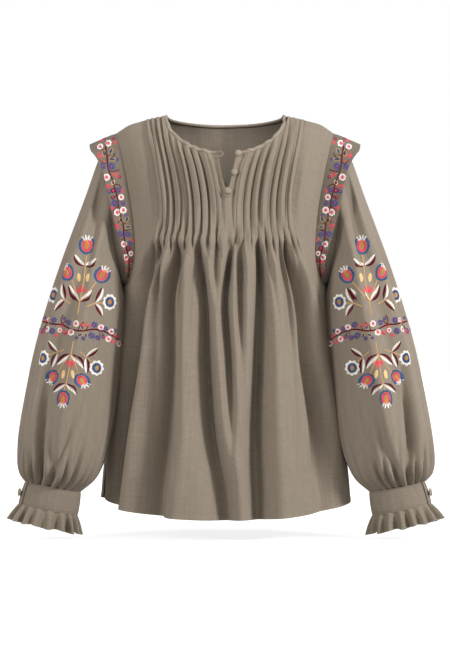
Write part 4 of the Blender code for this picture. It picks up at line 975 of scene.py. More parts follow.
def makeCuff(word, side):
    turns = cuffCut["lapAt"] - cuffCut["lap"] + np.linspace(0, 1 + cuffCut["lap"], cuffCut["around"])
    under = np.clip(1 - (turns - turns[0]) / (cuffCut["lap"] * 2.2), 0, 1)
    sink = -(cuffCut["wall"] + 0.0007) * np.minimum(1, under * 1.9)
    first, last = -cuffCut["overrun"], 1 + cuffCut["overrun"]
    rows, outs = [], []
    for down in np.linspace(first, last, cuffCut["rows"]):
        bulge = sink + 0.0009 * math.sin(math.pi * min(max(down, 0), 1))
        for turn, mid, wide, long, rise in cuffCut["creases"]:
            bulge = bulge + rise * np.exp(-((turns - turn) / wide) ** 2 - ((down - mid) / long) ** 2)
        fromEdge = min(down - first, last - down) * cuffCut["height"]
        bulge = bulge - 0.00045 * math.exp(-((fromEdge - cuffCut["seamAt"]) / 0.0006) ** 2)      # sewn line
        bulge = bulge - 0.0005 * (1 - min(1, fromEdge / 0.0011)) ** 2      # soft edge
        points, out = ringPoints(between(cuffCut["top"], cuffCut["end"], down), turns, side, bulge)
        rows.append(points)
        outs.append(out)
    outer, out = np.array(rows), np.array(outs)
    piece = makeShell("cuff_cloth_" + word, outer, outer - out * cuffCut["wall"], clothLengths(outer),
                      linen("linenCuff_" + word, "cuff", crinkle=0.3))
    return settle(piece, "cuff_" + word), outer, out


def makeFrill(word, side):
    count = frillCut["waves"] * frillCut["pointsPerWave"] + 1
    turns = cuffCut["lapAt"] + frillCut["gap"] / 2 + np.linspace(0, 1 - frillCut["gap"], count)
    swing = np.linspace(0, 1, count) * frillCut["waves"] * 2 * math.pi
    swing = swing + 0.5 * np.sin(turns * 2 * math.pi * 3 + 2 * side) + 0.3 * np.sin(turns * 2 * math.pi * 5)
    wave = np.sin(swing)
    wave = np.sign(wave) * np.abs(wave) ** 0.8
    uneven = 1 + 0.28 * np.sin(turns * 2 * math.pi * 4 + side)
    rows = []
    for down in np.linspace(0, 1, frillCut["rows"]):
        growth = 0.12 + 0.88 * math.sin(down * math.pi / 2) ** 0.9
        lean = turns + 0.0012 * np.sin(swing * 0.5 + side) * down
        points = ringPoints(between(frillCut["top"], frillCut["end"], down), lean, side,
                            wave * uneven * frillCut["rise"] * growth - 0.0010 * (1 - down))[0]
        points[:, 2] += 0.0012 * np.cos(swing * 0.5) * down
        rows.append(points)
    outer = np.array(rows)
    up = outer[0] + unit(outer[0] - outer[1]) * 0.0022
    outer = np.concatenate([up[None] + (outer[0].mean(axis=0) - up) * 0.02, outer])
    normal = gridNormals(outer)
    normal *= np.sign(np.sum(normal * (outer - outer.mean(axis=1, keepdims=True))))
    hemmed = np.zeros(len(outer))
    hemmed[-3:] = 0.0004
    hemmed[-4] = -0.0002
    outer = outer + normal * hemmed[:, None, None]
    piece = makeShell("frill_cloth_" + word, outer, outer - normal * (thinCloth + hemmed[:, None, None]),
                      clothLengths(outer), linen("linenFrill_" + word, "frill", crinkle=0.4))
    return settle(piece, "frill_" + word), outer, normal


cuffs = {word: makeCuff(word, sleeve["side"]) for word, sleeve in sleeves.items()}
frills = {word: makeFrill(word, sleeve["side"]) for word, sleeve in sleeves.items()}
print("cuffs and frills sewn on")

# rolled band round the neck
bindingCut = {"height": 0.0062, "thickness": 0.0032, "lift": 0.0001, "sides": 16, "steps": 260}


def neckEdge(isFront, side):
    shares = np.linspace(0, 1, 400)
    rows = (frontRows if isFront else backRows)[:3]
    outer, _, normal = panelGrid(shares * side, rows, isFront)
    raised = tuckRise(shares, outer[0, :, 2], outer[0, :, 2], side) if isFront else 0 * shares
    edge = outer[0] - normal[0] * raised[:, None]
    keep = np.abs(edge[:, 0]) < neckHole["halfWidth"]
    return np.hstack([edge, normal[0]])[keep]


def sweptBand(name, centre, out, up, halfThick, halfHigh, sides, material):
    # a rounded band along a path, closed at both ends
    angle = np.arange(sides) * 2 * math.pi / sides
    halfThick, halfHigh = np.reshape(halfThick, (-1, 1)), np.reshape(halfHigh, (-1, 1))
    rings = np.stack([centre + out * halfThick * math.cos(a) + up * halfHigh * math.sin(a) for a in angle], 1)
    first = centre[:1] - unit(centre[1:2] - centre[:1]) * float(halfHigh.max()) * 0.35
    last = centre[-1:] + unit(centre[-1:] - centre[-2:-1]) * float(halfHigh.max()) * 0.35
    caps = [first + (rings[:1, :] - centre[0]) * 0.55, last + (rings[-1:, :] - centre[-1]) * 0.55]
    tips = [first + (rings[:1, :] - centre[0]) * 0.02, last + (rings[-1:, :] - centre[-1]) * 0.02]
    rings = np.concatenate([tips[0], caps[0], rings, caps[1], tips[1]])
    r, c = everyCell(len(rings), sides)
    long = runLength(rings.mean(axis=1))
    girth = np.arange(sides + 1) / sides * 4 * float(halfHigh.max())
    maps = np.stack([np.stack([girth[c], long[r]], 1), np.stack([girth[c + 1], long[r]], 1),
                     np.stack([girth[c + 1], long[r + 1]], 1), np.stack([girth[c], long[r + 1]], 1)], 1)
    ends = endQuads(len(rings), sides)
    quads = np.concatenate([cellCorners(r, c, sides), ends])
    maps = np.concatenate([maps, np.zeros((len(ends), 4, 2))])
    ahead = unit(np.gradient(centre, axis=0))
    if np.sum(np.cross(out, up) * ahead) < 0:
        quads, maps = quads[:, ::-1], maps[:, ::-1]
    return makeMesh(name, rings.reshape(-1, 3), np.ascontiguousarray(quads), material, maps)


def makeBinding():
    path = np.vstack([neckEdge(True, -1), neckEdge(False, -1)[::-1], neckEdge(False, 1), neckEdge(True, 1)[::-1]])
    path = evenly(path, bindingCut["steps"])
    for _ in range(6):
        path[1:-1] = (path[:-2] + path[1:-1] * 2 + path[2:]) / 4
    edge, out = path[:, :3], unit(path[:, 3:])
    ahead = unit(np.gradient(edge, axis=0))
    up = unit(np.cross(ahead, out))
    out = np.cross(up, ahead)
    high = bindingCut["height"]
    long = np.arange(len(path)) / len(path)
    pucker = 0.05 * np.sin(long * 640) + 0.04 * np.sin(long * 251 + 1) + 0.03 * np.sin(long * 1130 + 2)
    centre = edge + up * (high / 2 + bindingCut["lift"]) - out * 0.0006
    piece = sweptBand("neck_binding_cloth", centre, out, up, bindingCut["thickness"] / 2 * (1 + pucker),
                      high / 2 * (1 + pucker * 0.4), bindingCut["sides"], linen("linenNeck", "neck", crinkle=0.2))
    return settle(piece, "neck_binding")


bindingPiece = makeBinding()
print("neck bound")

# buttons and loops
buttonShape = {
    "radius": 0.0050, "cuffRadius": 0.0062, "height": 0.0058, "shankRadius": 0.0018, "shankHeight": 0.0023,
    "steps": 40, "pleats": 11,
    "places": [("button_top", 0.0205, -0.0640), ("button_middle", 0.0146, -0.0950),
               ("button_lower", 0.0045, -0.1245)],
}
loopCord = {
    "radius": 0.0009, "steps": 60, "sides": 8,
    "loop_top": [(-0.0155, -0.0620), (-0.0110, -0.0612), (-0.0060, -0.0612), (-0.0035, -0.0635), (-0.0035, -0.0670),
                 (-0.0060, -0.0692), (-0.0110, -0.0690), (-0.0155, -0.0680)],
    "loop_lower": [(-0.0085, -0.1205), (-0.0080, -0.1255), (-0.0045, -0.1305), (0.0010, -0.1325), (0.0070, -0.1310),
                   (0.0095, -0.1260)],
}


def treeOf(*pieces):
    points, faces = [], []
    for piece in pieces:
        mesh = piece.data
        faces += [[index + len(points) for index in face.vertices] for face in mesh.polygons]
        points += [vertex.co.copy() for vertex in mesh.vertices]
    return BVHTree.FromPolygons(points, faces)


def overFront(tree, x, z, radius):
    # a place on the front that clears the cloth under it, and the way out
    step = 0.002

    def point(px, pz):
        return np.array([px, -float(bodyDepth(abs(px), pz, "frontDepth")), pz])

    out = unit(np.cross(point(x + step, z) - point(x - step, z), point(x, z + step) - point(x, z - step)))
    centre = point(x, z)
    heights = [0.0028] if abs(x - slitShift) < smoothAt(frontSlit, "halfWidth", z) else []
    for dx, dz in ((0, 0), (1, 0), (-1, 0), (0, 1), (0, -1), (0.7, 0.7), (-0.7, 0.7), (0.7, -0.7), (-0.7, -0.7)):
        hit = tree.ray_cast(Vector((x + dx * radius, -1, z + dz * radius)), Vector((0, 1, 0)))[0]
        if hit:
            heights.append(float((np.array(hit) - centre) @ out))
    return centre + out * max(heights), out


def makeButton(name, node, radius, at, out):
    high, shank = buttonShape["height"], buttonShape["shankHeight"]
    dome = [(math.sin(a), math.cos(a)) for a in np.linspace(0.02, math.pi / 2, 11)]
    rim = shank + (high - shank) * 0.35
    profile = [(radius * s, rim + (high - rim) * c) for s, c in dome]
    profile += [(radius * 0.99, rim - 0.0005), (radius * 0.94, shank + 0.0003), (radius * 0.84, shank),
                (radius * 0.55, shank - 0.0001), (buttonShape["shankRadius"], shank - 0.0002),
                (buttonShape["shankRadius"] * 0.9, shank * 0.5), (buttonShape["shankRadius"], 0.0),
                (buttonShape["shankRadius"] * 0.05, -0.0001)]
    profile = np.array(profile)
    steps = buttonShape["steps"]
    angle = np.arange(steps) / steps * 2 * math.pi
    outer = np.clip((profile[:, :1] / radius - 0.55) / 0.45, 0, 1)
    pleat = 1 + 0.022 * np.sin(angle * buttonShape["pleats"]) * outer
    turn = np.array(Vector(out).to_track_quat("Z", "Y").to_matrix())
    ring = np.stack([profile[:, :1] * pleat * np.cos(angle), profile[:, :1] * pleat * np.sin(angle),
                     np.broadcast_to(profile[:, 1:], pleat.shape)], axis=2)
    points = ring.reshape(-1, 3) @ turn.T + at
    r, c = everyCell(len(profile), steps)
    right = (c + 1) % steps
    flat = ring[:, :, :2] * np.linspace(1, 1.25, len(profile))[:, None, None]
    maps = np.stack([flat[r, c], flat[r + 1, c], flat[r + 1, right], flat[r, right]], 1)
    ends = endQuads(len(profile), steps)[:, ::-1]
    quads = np.concatenate([cellCorners(r, c, steps)[:, [0, 3, 2, 1]], ends])
    maps = np.concatenate([maps, np.zeros((len(ends), 4, 2))])
    piece = makeMesh(name, points, np.ascontiguousarray(quads),
                     linen("coveredCloth_" + node, "button", crinkle=0.15), maps)
    return settle(piece, node)


frontTree = treeOf(frontPiece, bindingPiece)
for node, x, z in buttonShape["places"]:
    at, out = overFront(frontTree, x, z, buttonShape["shankRadius"])
    makeButton(node + "_covered", node, buttonShape["radius"], at - out * 0.0002, out)
for word, sleeve in sleeves.items():
    ring = between(cuffCut["top"], cuffCut["end"], 0.5)
    points, outs = ringPoints(ring, np.array([cuffCut["buttonAt"]]), sleeve["side"], 0.0007)
    makeButton("cuff_button_covered_" + word, "cuff_button_" + word, buttonShape["cuffRadius"], points[0], outs[0])


def makeLoop(name):
    route = []
    for x, z in loopCord[name]:
        centre, out = overFront(frontTree, x, z, loopCord["radius"])
        route.append(np.concatenate([centre + out * loopCord["radius"], out]))
    route = evenly(cornersCut(np.array(route), 4), loopCord["steps"])
    ahead = unit(np.gradient(route[:, :3], axis=0))
    out = unit(route[:, 3:] - ahead * np.sum(route[:, 3:] * ahead, axis=1, keepdims=True))
    twist = 1 + 0.08 * np.sin(np.arange(len(route)) * 1.9)
    thick = loopCord["radius"] * twist
    piece = sweptBand(name + "_rolled", route[:, :3], out, np.cross(ahead, out), thick, thick, loopCord["sides"],
                      linen("rolledCord_" + name, "button", crinkle=0.1))
    settle(piece, name)
    print(name, "length", round(float(np.linalg.norm(np.diff(route[:, :3], axis=0), axis=1).sum()), 4))


makeLoop("loop_top")
makeLoop("loop_lower")
print("buttons and loops sewn on")

# embroidery in satin and stem stitch
threadColours = {      # as seen, 0 to 255
    "blue": (72, 100, 146), "coral": (236, 92, 108), "ochre": (212, 158, 92), "white": (246, 242, 236),
    "burgundy": (104, 12, 34), "gold": (224, 178, 116), "cream": (242, 214, 160), "violet": (102, 102, 146),
    "pink": (226, 84, 132), "navy": (66, 90, 132), "rose": (240, 158, 174), "yellow": (222, 186, 96),
}
threadNames = list(threadColours)
satin = {
    "spacing": 0.00062, "halfWidth": 0.00037, "lift": 0.00048, "sink": 0.00012, "stemStep": 0.0012,
    # along one stitch: where its four rows lie, the height of its crown and edges, its width
    "rows": (0.0, 0.3, 0.7, 1.0), "crown": (-0.35, 1.0, 1.0, -0.35), "edges": (-0.5, 0.30, 0.30, -0.5),
    "taper": (0.6, 1.0, 1.0, 0.6),
}
# the picture's middle, its last column, metres to a pixel, slope to a pixel, and how far off the cloth lies
photo = {"middle": (225, 325), "lastColumn": 449, "pixel": 0.0016, "slope": 0.0004, "toFront": 4.06, "toBack": 3.94}
stitchRandom = random.Random(7)


def asLight(colour):
    return tuple((c / 255 / 12.92) if c / 255 <= 0.04045 else ((c / 255 + 0.055) / 1.055) ** 2.4 for c in colour)


threadMaterials = [groupedMaterial("thread_" + name, threadGroup, {"Colour": (*asLight(colour), 1)},
                                   bumpDistance=0.00012, bumpStrength=0.6) for name, colour in threadColours.items()]


def clothSurface(outer, normal, wrap):
    # a cloth's outer side to lay stitches on
    rows, columns = outer.shape[:2]
    quads = cellCorners(*everyCell(rows, columns if wrap else columns - 1), columns)
    outwards = unit(normal.reshape(-1, 3)[quads].mean(axis=1))
    tree = BVHTree.FromPolygons([tuple(p) for p in outer.reshape(-1, 3)], quads.tolist())
    return {"tree": tree, "normal": outwards}


def nearestOn(surface, points):
    places, normals = np.empty((len(points), 3)), np.empty((len(points), 3))
    for k, point in enumerate(points):
        hit, _, index, _ = surface["tree"].find_nearest(Vector(point))
        places[k], normals[k] = hit, surface["normal"][index]
    return places, normals


def seenPlace(surface, px, py, fromBack=False):
    # the place on the cloth that shows at a spot of the picture, or the nearest to it
    eye = np.array(studio["cameraAt"], float)
    way = np.array([(px - photo["middle"][0]) * photo["slope"], 1.0, -(py - photo["middle"][1]) * photo["slope"]])
    if fromBack:
        eye[1], way[1] = -eye[1], -1.0
    hit, _, index, _ = surface["tree"].ray_cast(Vector(eye), Vector(way).normalized())
    if hit is None:
        guess = eye + way * photo["toBack" if fromBack else "toFront"]
        hit, _, index, _ = surface["tree"].find_nearest(Vector(guess))
    return np.array(hit), surface["normal"][index]


def localFrame(normal, way):
    # up and left as the picture shows them, carried onto the cloth that leans away
    facing = math.copysign(max(abs(normal[1]), 0.6), normal[1])

    def onto(x, z):
        return np.array([x, -(x * normal[0] + z * normal[2]) / facing, z])

    return onto(way[0], way[1]), onto(-way[1], way[0])


def newWork():
    return {"places": [], "normals": [], "colours": [], "lifts": [], "widths": []}


def stitchOn(work, surface, centre, along, left, stitches):
    # straight stitches: rows of x0 y0 x1 y1 colour lift, in metres round the centre
    stitches = np.array(stitches, float)
    share = np.array(satin["rows"])
    x = stitches[:, :1] + (stitches[:, 2:3] - stitches[:, :1]) * share
    y = stitches[:, 1:2] + (stitches[:, 3:4] - stitches[:, 1:2]) * share
    points = centre + x[:, :, None] * along + y[:, :, None] * left
    places, normals = nearestOn(surface, points.reshape(-1, 3))
    work["places"].append(places.reshape(-1, 4, 3))
    work["normals"].append(normals.reshape(-1, 4, 3))
    work["colours"].append(stitches[:, 4])
    work["lifts"].append(stitches[:, 5])
    work["widths"].append(np.full(len(stitches), satin["halfWidth"]))


def ringStitches(outerRadii, innerRadii, colour, lift=1.0, start=0.0, end=1.0, scallops=0, scallopDepth=0.0):
    # radial satin between two ovals, over part of a turn or all of it
    girth = math.pi * (outerRadii[0] + outerRadii[1]) * (end - start)
    count = max(6, round(girth / satin["spacing"]))
    found = []
    for k in range(count):
        turn = start + (end - start) * (k + 0.5) / count
        angle = turn * 2 * math.pi
        reach = 1.0 - scallopDepth * abs(math.cos(scallops * angle / 2)) ** 3 if scallops else 1.0
        reach += stitchRandom.uniform(-0.012, 0.012)
        # the motif's up is +x here, so the turn starts at its top
        found.append((math.cos(angle) * innerRadii[1], math.sin(angle) * innerRadii[0],
                      math.cos(angle) * outerRadii[1] * reach, math.sin(angle) * outerRadii[0] * reach,
                      threadNames.index(colour), lift))
    return found


def filledOval(halfWide, halfLong, colour, lift=1.1, at=(0.0, 0.0)):
    found = []
    for x in np.arange(-halfLong + satin["spacing"] / 2, halfLong, satin["spacing"]):
        wide = halfWide * math.sqrt(max(0.0, 1 - (x / halfLong) ** 2)) + 0.0002
        found.append((at[0] + x, at[1] - wide, at[0] + x, at[1] + wide, threadNames.index(colour), lift))
    return found


def petal(at, angle, length, halfWide, colour, lift, bluntness=0.55):
    # a pointed petal from a place, filled across
    cos, sin = math.cos(angle), math.sin(angle)
    found = []
    for s in np.arange(satin["spacing"] / 2, length, satin["spacing"]):
        share = s / length
        wide = halfWide * (share ** bluntness) * (1 - share) ** 0.6 * 1.9 + 0.00015
        x, y = at[0] + cos * s, at[1] + sin * s
        found.append((x + sin * wide, y - cos * wide, x - sin * wide, y + cos * wide,
                      threadNames.index(colour), lift))
    return found


def tulip(size):
    mm = 0.001 * size
    found = ringStitches((14.2 * mm, 15.2 * mm), (8.2 * mm, 10.6 * mm), "blue", 0.9, 0.055, 0.945)
    found += ringStitches((8.9 * mm, 11.2 * mm), (3.6 * mm, 6.2 * mm), "coral", 1.15, 0.03, 0.97)
    found += filledOval(4.4 * mm, 7.6 * mm, "ochre", 1.3, (2.2 * mm, 0.0))
    for angle, long in ((-0.62, 9.0), (-0.21, 10.5), (0.21, 10.5), (0.62, 9.0)):
        found += petal((6.4 * mm, math.sin(angle) * 5.0 * mm), angle, long * mm, 2.7 * mm, "white", 1.35)
    return found


def daisy(size):
    mm = 0.001 * size
    found = ringStitches((11.6 * mm, 13.6 * mm), (6.4 * mm, 7.6 * mm), "white", 0.9, 0, 1, 9, 0.17)
    found += ringStitches((7.2 * mm, 8.4 * mm), (2.6 * mm, 3.2 * mm), "blue", 1.1)
    found += filledOval(3.3 * mm, 4.0 * mm, "ochre", 1.3)
    return found


def littleFlower(size, outside, middle, heart):
    mm = 0.001 * size
    found = ringStitches((5.4 * mm, 5.7 * mm), (2.3 * mm, 2.5 * mm), outside, 0.9, 0, 1, 7, 0.16)
    found += ringStitches((2.9 * mm, 3.1 * mm), (1.0 * mm, 1.1 * mm), middle, 1.1)
    found += filledOval(1.2 * mm, 1.3 * mm, heart, 1.3)
    return found


def violetFlower(size):
    return littleFlower(size, "violet", "blue", "pink")


def whiteFlower(size):
    return littleFlower(size, "white", "rose", "coral")


def rosette(size):
    return littleFlower(size, "burgundy", "pink", "coral")


def bud(size):
    return filledOval(0.0040 * size, 0.0068 * size, "cream")


def berry(size):
    return filledOval(0.0015 * size, 0.0016 * size, "coral")


def drop(size):
    edge = ringStitches((0.0030 * size, 0.0046 * size), (0.0016 * size, 0.0026 * size), "cream")
    return edge + filledOval(0.0014 * size, 0.0024 * size, "navy", 0.9)


def fan(size, count=7):
    mm = 0.001 * size
    found = []
    for k in range(count):
        angle = (k / (count - 1) - 0.5) * 2.5
        length, lift = (12.5 - 2.0 * abs(angle)) * mm, 0.85 + 0.3 * (k % 2)
        found += petal((0.0, 0.0), angle, length, 2.0 * mm, "coral", lift, 0.9)
    return found


def smallFan(size):
    return fan(size, 5)


def outlinedLeaf(size):
    mm = 0.001 * size
    found = ringStitches((3.1 * mm, 5.2 * mm), (2.2 * mm, 4.2 * mm), "yellow", 1.1)
    return found + filledOval(2.0 * mm, 4.0 * mm, "navy", 0.9)


def leafStitches(length, whiteSide, bend):
    # a leaf from its foot: one half white, the other burgundy, stitched on a slant from the rib
    found = []
    wide = length * 0.27
    for s in np.arange(satin["spacing"] / 2, length * 0.97, satin["spacing"] * 0.92):
        share = s / length
        rib = bend * length * math.sin(math.pi * share)
        reach = min(1.0, share + 0.10)
        ribThere = bend * length * math.sin(math.pi * reach)
        for half, colour in ((whiteSide, "white"), (-whiteSide, "burgundy")):
            out = half * wide * (share ** 0.62) * (1 - share) ** 0.85 * 2.1
            found.append((s, rib, reach * length, ribThere + out, threadNames.index(colour), 1.0))
    return found


# places in the picture's own pixels: px py size, or px py up size, where up is the way a motif opens in degrees
sleeveChart = {
    "tulips": [(87, 245.5, 0, 1.0), (66.6, 272, -28, 0.94), (102, 275, 30, 0.94),
               (52.5, 377, 214, 0.80), (82, 380.5, 152, 0.80), (62.8, 398.5, 184, 0.92)],
    "daisies": [(53.2, 295, 0, 1.02), (110, 302, 0, 1.02), (42.6, 358, 0, 0.98), (97, 368, 0, 0.98)],
    "leaves": [(84.5, 266, 74, 253.5, -1, 0.055), (84.5, 266, 98, 256, 1, -0.055),
               (79.4, 301.5, 68.5, 286.5, -1, 0.055), (79.4, 301.5, 96, 289.5, 1, -0.055),
               (65.0, 300, 62.6, 284, 1, 0.04), (65.0, 299.5, 54.5, 310.5, -1, -0.04),
               (95.0, 303, 103, 288, -1, -0.04), (95.0, 303, 103.4, 316, 1, 0.04),
               (71, 354, 57.5, 364.5, 1, -0.055), (71, 354, 82, 368, -1, 0.055),
               (57.5, 352, 48.6, 341.5, -1, 0.04), (57.5, 352.5, 51.6, 367, 1, -0.04),
               (86, 357, 98, 348.5, 1, -0.04), (86, 357.5, 87, 373, -1, 0.04),
               (66, 383.5, 54, 392, 1, -0.055), (66, 383.5, 76.5, 394.5, -1, 0.055)],
    "stems": [[(86.6, 255), (85.2, 268), (83.4, 284), (79.8, 300), (77.6, 314.5)],
              [(72, 280), (75.5, 290), (79.6, 301)], [(96.6, 282), (89, 291), (80.6, 301)],
              [(59.5, 299.5), (65, 300), (71, 304)], [(104, 303), (95, 303), (87, 306.5)],
              [(73.4, 341), (71.2, 353), (68.6, 372), (66, 384), (64, 391)],
              [(57, 373.5), (64, 363), (70.6, 354)], [(79.2, 375), (75, 364), (71.4, 354)],
              [(49, 355), (57.5, 352), (64.5, 349.5)], [(92, 362), (86, 357), (80, 351.5)]],
    "buds": [(79.0, 277.5, -8, 1.0), (87.9, 277.5, 8, 1.0), (63.2, 374.3, 190, 1.0), (72.8, 374.3, 170, 1.0)],
    "fans": [(80.6, 292.5, 0, 1.0), (70.3, 360.5, 184, 1.0)],
}
garlandChart = {
    "vineWidth": 0.0005, "twigWidth": 0.0004,
    "vine": [(41.5, 321), (47, 322.5), (54, 324.5), (62, 324), (70, 329), (78, 331), (86, 330.5), (93, 329),
             (101, 330), (109, 333.5), (117, 338.5), (124, 345)],
    "whiteFlowers": [(75.9, 323.6, 1.0), (71, 332, 1.1), (59.8, 330.2, 0.75), (101.2, 327.4, 0.95),
                     (111.4, 331.6, 0.95), (108.6, 339, 0.95), (119, 343.5, 1.05), (49, 319.8, 0.7)],
    "blueFlowers": [(54, 320, 1.0), (52.4, 331, 1.05), (69, 322.6, 0.95), (94.2, 324.8, 1.0), (91.5, 335.6, 1.05),
                    (105.6, 328.6, 0.8), (103, 336.8, 0.7), (64.4, 318.6, 0.6), (83.4, 338.4, 0.7),
                    (97.4, 337.6, 0.85), (76.6, 337.6, 0.6), (115.4, 330.4, 0.6), (44.6, 317.8, 0.6)],
    "fans": [(83.4, 327, 4, 0.72), (115.4, 338, 24, 0.62), (66, 331, 200, 0.66), (43.2, 330, 196, 0.7),
             (113, 340, 190, 0.60), (47.6, 322, 10, 0.55), (62.4, 326.5, -60, 0.45), (56.6, 333.6, 180, 0.5),
             (104.6, 336, 176, 0.5), (89.6, 326.6, 30, 0.45)],
    "outlined": [(82.2, 327.2, -30, 0.95), (79.8, 334.8, 75, 0.9), (85.9, 335.6, 165, 0.9), (44.5, 327.5, 20, 0.9)],
    "twigs": [[(62, 324), (60.6, 318.6), (63.6, 314.5)], [(98.6, 330), (100.4, 335), (98.8, 341)],
              [(101, 331), (104, 336.5)], [(78, 330.6), (80.4, 324.6), (84.6, 321.6)], [(86, 330.4), (88.6, 325.4)],
              [(70, 329), (66.4, 333.4), (63.6, 334.6)], [(109, 333.5), (113.6, 330.4), (116.4, 332)],
              [(47, 322.5), (45.2, 327.6), (46.8, 331.6)], [(62, 324), (66.8, 320.2)]],
}
flangeChart = {
    "vineWidth": 0.0005, "twigWidth": 0.00045,
    "vine": [(106, 140.5), (105.5, 148), (107, 156), (107.4, 163), (108.6, 171), (112, 178), (114.6, 188),
             (117.6, 197), (118.4, 206), (120.6, 216), (123.6, 226), (123.8, 236), (125.6, 246), (128, 255),
             (129.4, 264), (129.2, 271), (127.6, 278)],
    "whiteFlowers": [(108.2, 143.2, 1.15), (100.2, 146.6, 1.05), (106.6, 177.2, 1.15), (121.2, 197.2, 0.95),
                     (117.4, 212.4, 1.15), (123.4, 210.2, 1.1), (123.8, 244.2, 0.98), (126, 257.4, 0.98),
                     (131.0, 253.6, 0.8)],
    "blueFlowers": [(102.6, 166.4, 1.1), (111.6, 166.2, 1.25), (118.4, 190.2, 1.0), (114.4, 203.2, 1.15),
                    (122.8, 203.4, 0.8), (120, 234.2, 1.1), (127.6, 234.2, 1.05), (129.6, 243.2, 0.8),
                    (108.8, 191.6, 0.8), (117.4, 159.4, 0.6), (126.2, 215.6, 0.6), (126.0, 281.0, 0.5)],
    "outlined": [(104.2, 153.2, -14, 1.1), (110.8, 151.2, 22, 1.1), (112.2, 159.4, 88, 1.05),
                 (121.2, 220.2, -18, 1.0), (126.8, 219.4, 16, 1.0), (128.0, 226.8, 88, 0.95),
                 (126.8, 264.6, -14, 0.6), (131.2, 265.0, 16, 0.6), (130.6, 272.6, 70, 0.55)],
    "drops": [(113.2, 182.6, 14, 1.0)],
    "fans": [(100.4, 154.4, 196, 0.62), (115.4, 176.4, 24, 0.66), (108.6, 184.6, 186, 0.58), (117.2, 224.4, 196, 0.6),
             (127.4, 260.4, 184, 0.55), (100.6, 141.4, 6, 0.5), (114.6, 143.4, 40, 0.5), (121.4, 191.6, 60, 0.5),
             (112.6, 206.6, 200, 0.5), (118.6, 240.6, 210, 0.5), (131.4, 241.2, 40, 0.45)],
    "twigs": [[(107, 156), (103, 150.6), (101.4, 148)], [(107, 156), (111.4, 153.6)],
              [(107.2, 160), (113.4, 157.6), (115.4, 153)], [(108.6, 171), (115.4, 171.6), (119.6, 169.4)],
              [(107.4, 163), (102.4, 163.6), (100, 159.6)], [(113.6, 184), (119.4, 184.6), (121.6, 188.4)],
              [(117, 195), (112, 199.6)], [(118.4, 206), (113.6, 209.6), (113, 214)],
              [(121.4, 220), (117.6, 222.6)], [(122, 223), (126.4, 223)], [(123.7, 231), (129.6, 229.4)],
              [(123.8, 238), (119.6, 240.8)], [(126, 249), (130.6, 248.4)], [(128, 255), (124.4, 261)]],
    "rosettes": [(104.4, 138.4, 0.55), (113.6, 138.6, 0.5), (113.2, 190.6, 0.75), (112.6, 197.4, 0.55),
                 (119.8, 177.2, 0.5), (128.4, 248.4, 0.75), (131.2, 260.4, 0.6), (123.6, 251.8, 0.5),
                 (124.4, 274.4, 0.45)],
    "berries": [(98.6, 152.6, 1), (98.8, 156.8, 1), (101.4, 160.4, 1), (104.4, 161.2, 1), (107.6, 186.2, 1),
                (109.2, 191.2, 1), (112.2, 208.4, 1), (115.6, 219.6, 1), (116.4, 224.6, 1), (118.4, 229, 1),
                (121.2, 256.2, 1), (122.8, 261.6, 1), (123.2, 265.0, 1), (124.4, 268.2, 1), (126.4, 270.8, 1)],
}


def mirrored(px, side):
    return px if side < 0 else photo["lastColumn"] - px


def lay(work, surface, side, px, py, up, stitches, fromBack=False):
    # sets a motif down at a spot of the picture, turned so that its own up has this angle
    centre, normal = seenPlace(surface, mirrored(px, side), py, fromBack)
    angle = math.radians(up)
    along, left = localFrame(normal, (math.sin(angle) * (1 if side < 0 else -1), math.cos(angle)))
    stitchOn(work, surface, centre, along, left, stitches)


def layAll(work, surface, side, spots, motif, fromBack=False):
    for px, py, *up, size in spots:
        lay(work, surface, side, px, py, up[0] if up else 0, motif(size), fromBack)


def layLeaf(work, surface, side, leaf):
    x0, y0, x1, y1, whiteSide, bend = leaf
    foot, _ = seenPlace(surface, mirrored(x0, side), y0)
    tip, _ = seenPlace(surface, mirrored(x1, side), y1)
    _, normal = nearestOn(surface, [(foot + tip) / 2])
    way = (tip - foot)[[0, 2]]
    length = float(np.linalg.norm(way))
    along, left = localFrame(normal[0], way / length)
    flip = 1 if side < 0 else -1
    stitchOn(work, surface, foot, along, left, leafStitches(length, whiteSide * flip, bend * flip))


def layStem(work, surface, side, route, colour, halfWide, strands=2, fromBack=False):
    # stem stitch: short slanted stitches, each starting halfway along the last
    route = cornersCut(np.array([(mirrored(px, side), py) for px, py in route], float), 3)
    count = max(4, round(runLength(route)[-1] * photo["pixel"] / satin["stemStep"]))
    hits = [seenPlace(surface, px, py, fromBack) for px, py in evenly(route, count)]
    places, normals = np.array([h[0] for h in hits]), np.array([h[1] for h in hits])
    for strand in range(strands):
        offset = (strand - (strands - 1) / 2) * halfWide * 1.5
        for k in range(count - 2):
            ahead = unit(places[k + 2] - places[k])
            across = unit(np.cross(normals[k], ahead))
            line = np.array([places[k] + across * (offset - halfWide * 0.4),
                             places[k] * 0.65 + places[k + 2] * 0.35 + across * (offset - halfWide * 0.1),
                             places[k] * 0.35 + places[k + 2] * 0.65 + across * (offset + halfWide * 0.1),
                             places[k + 2] + across * (offset + halfWide * 0.4)])
            work["places"].append(line[None])
            work["normals"].append(np.repeat(normals[k:k + 1], 4, axis=0)[None])
            work["colours"].append(np.array([threadNames.index(colour)]))
            work["lifts"].append(np.array([1.15]))
            work["widths"].append(np.array([halfWide]))


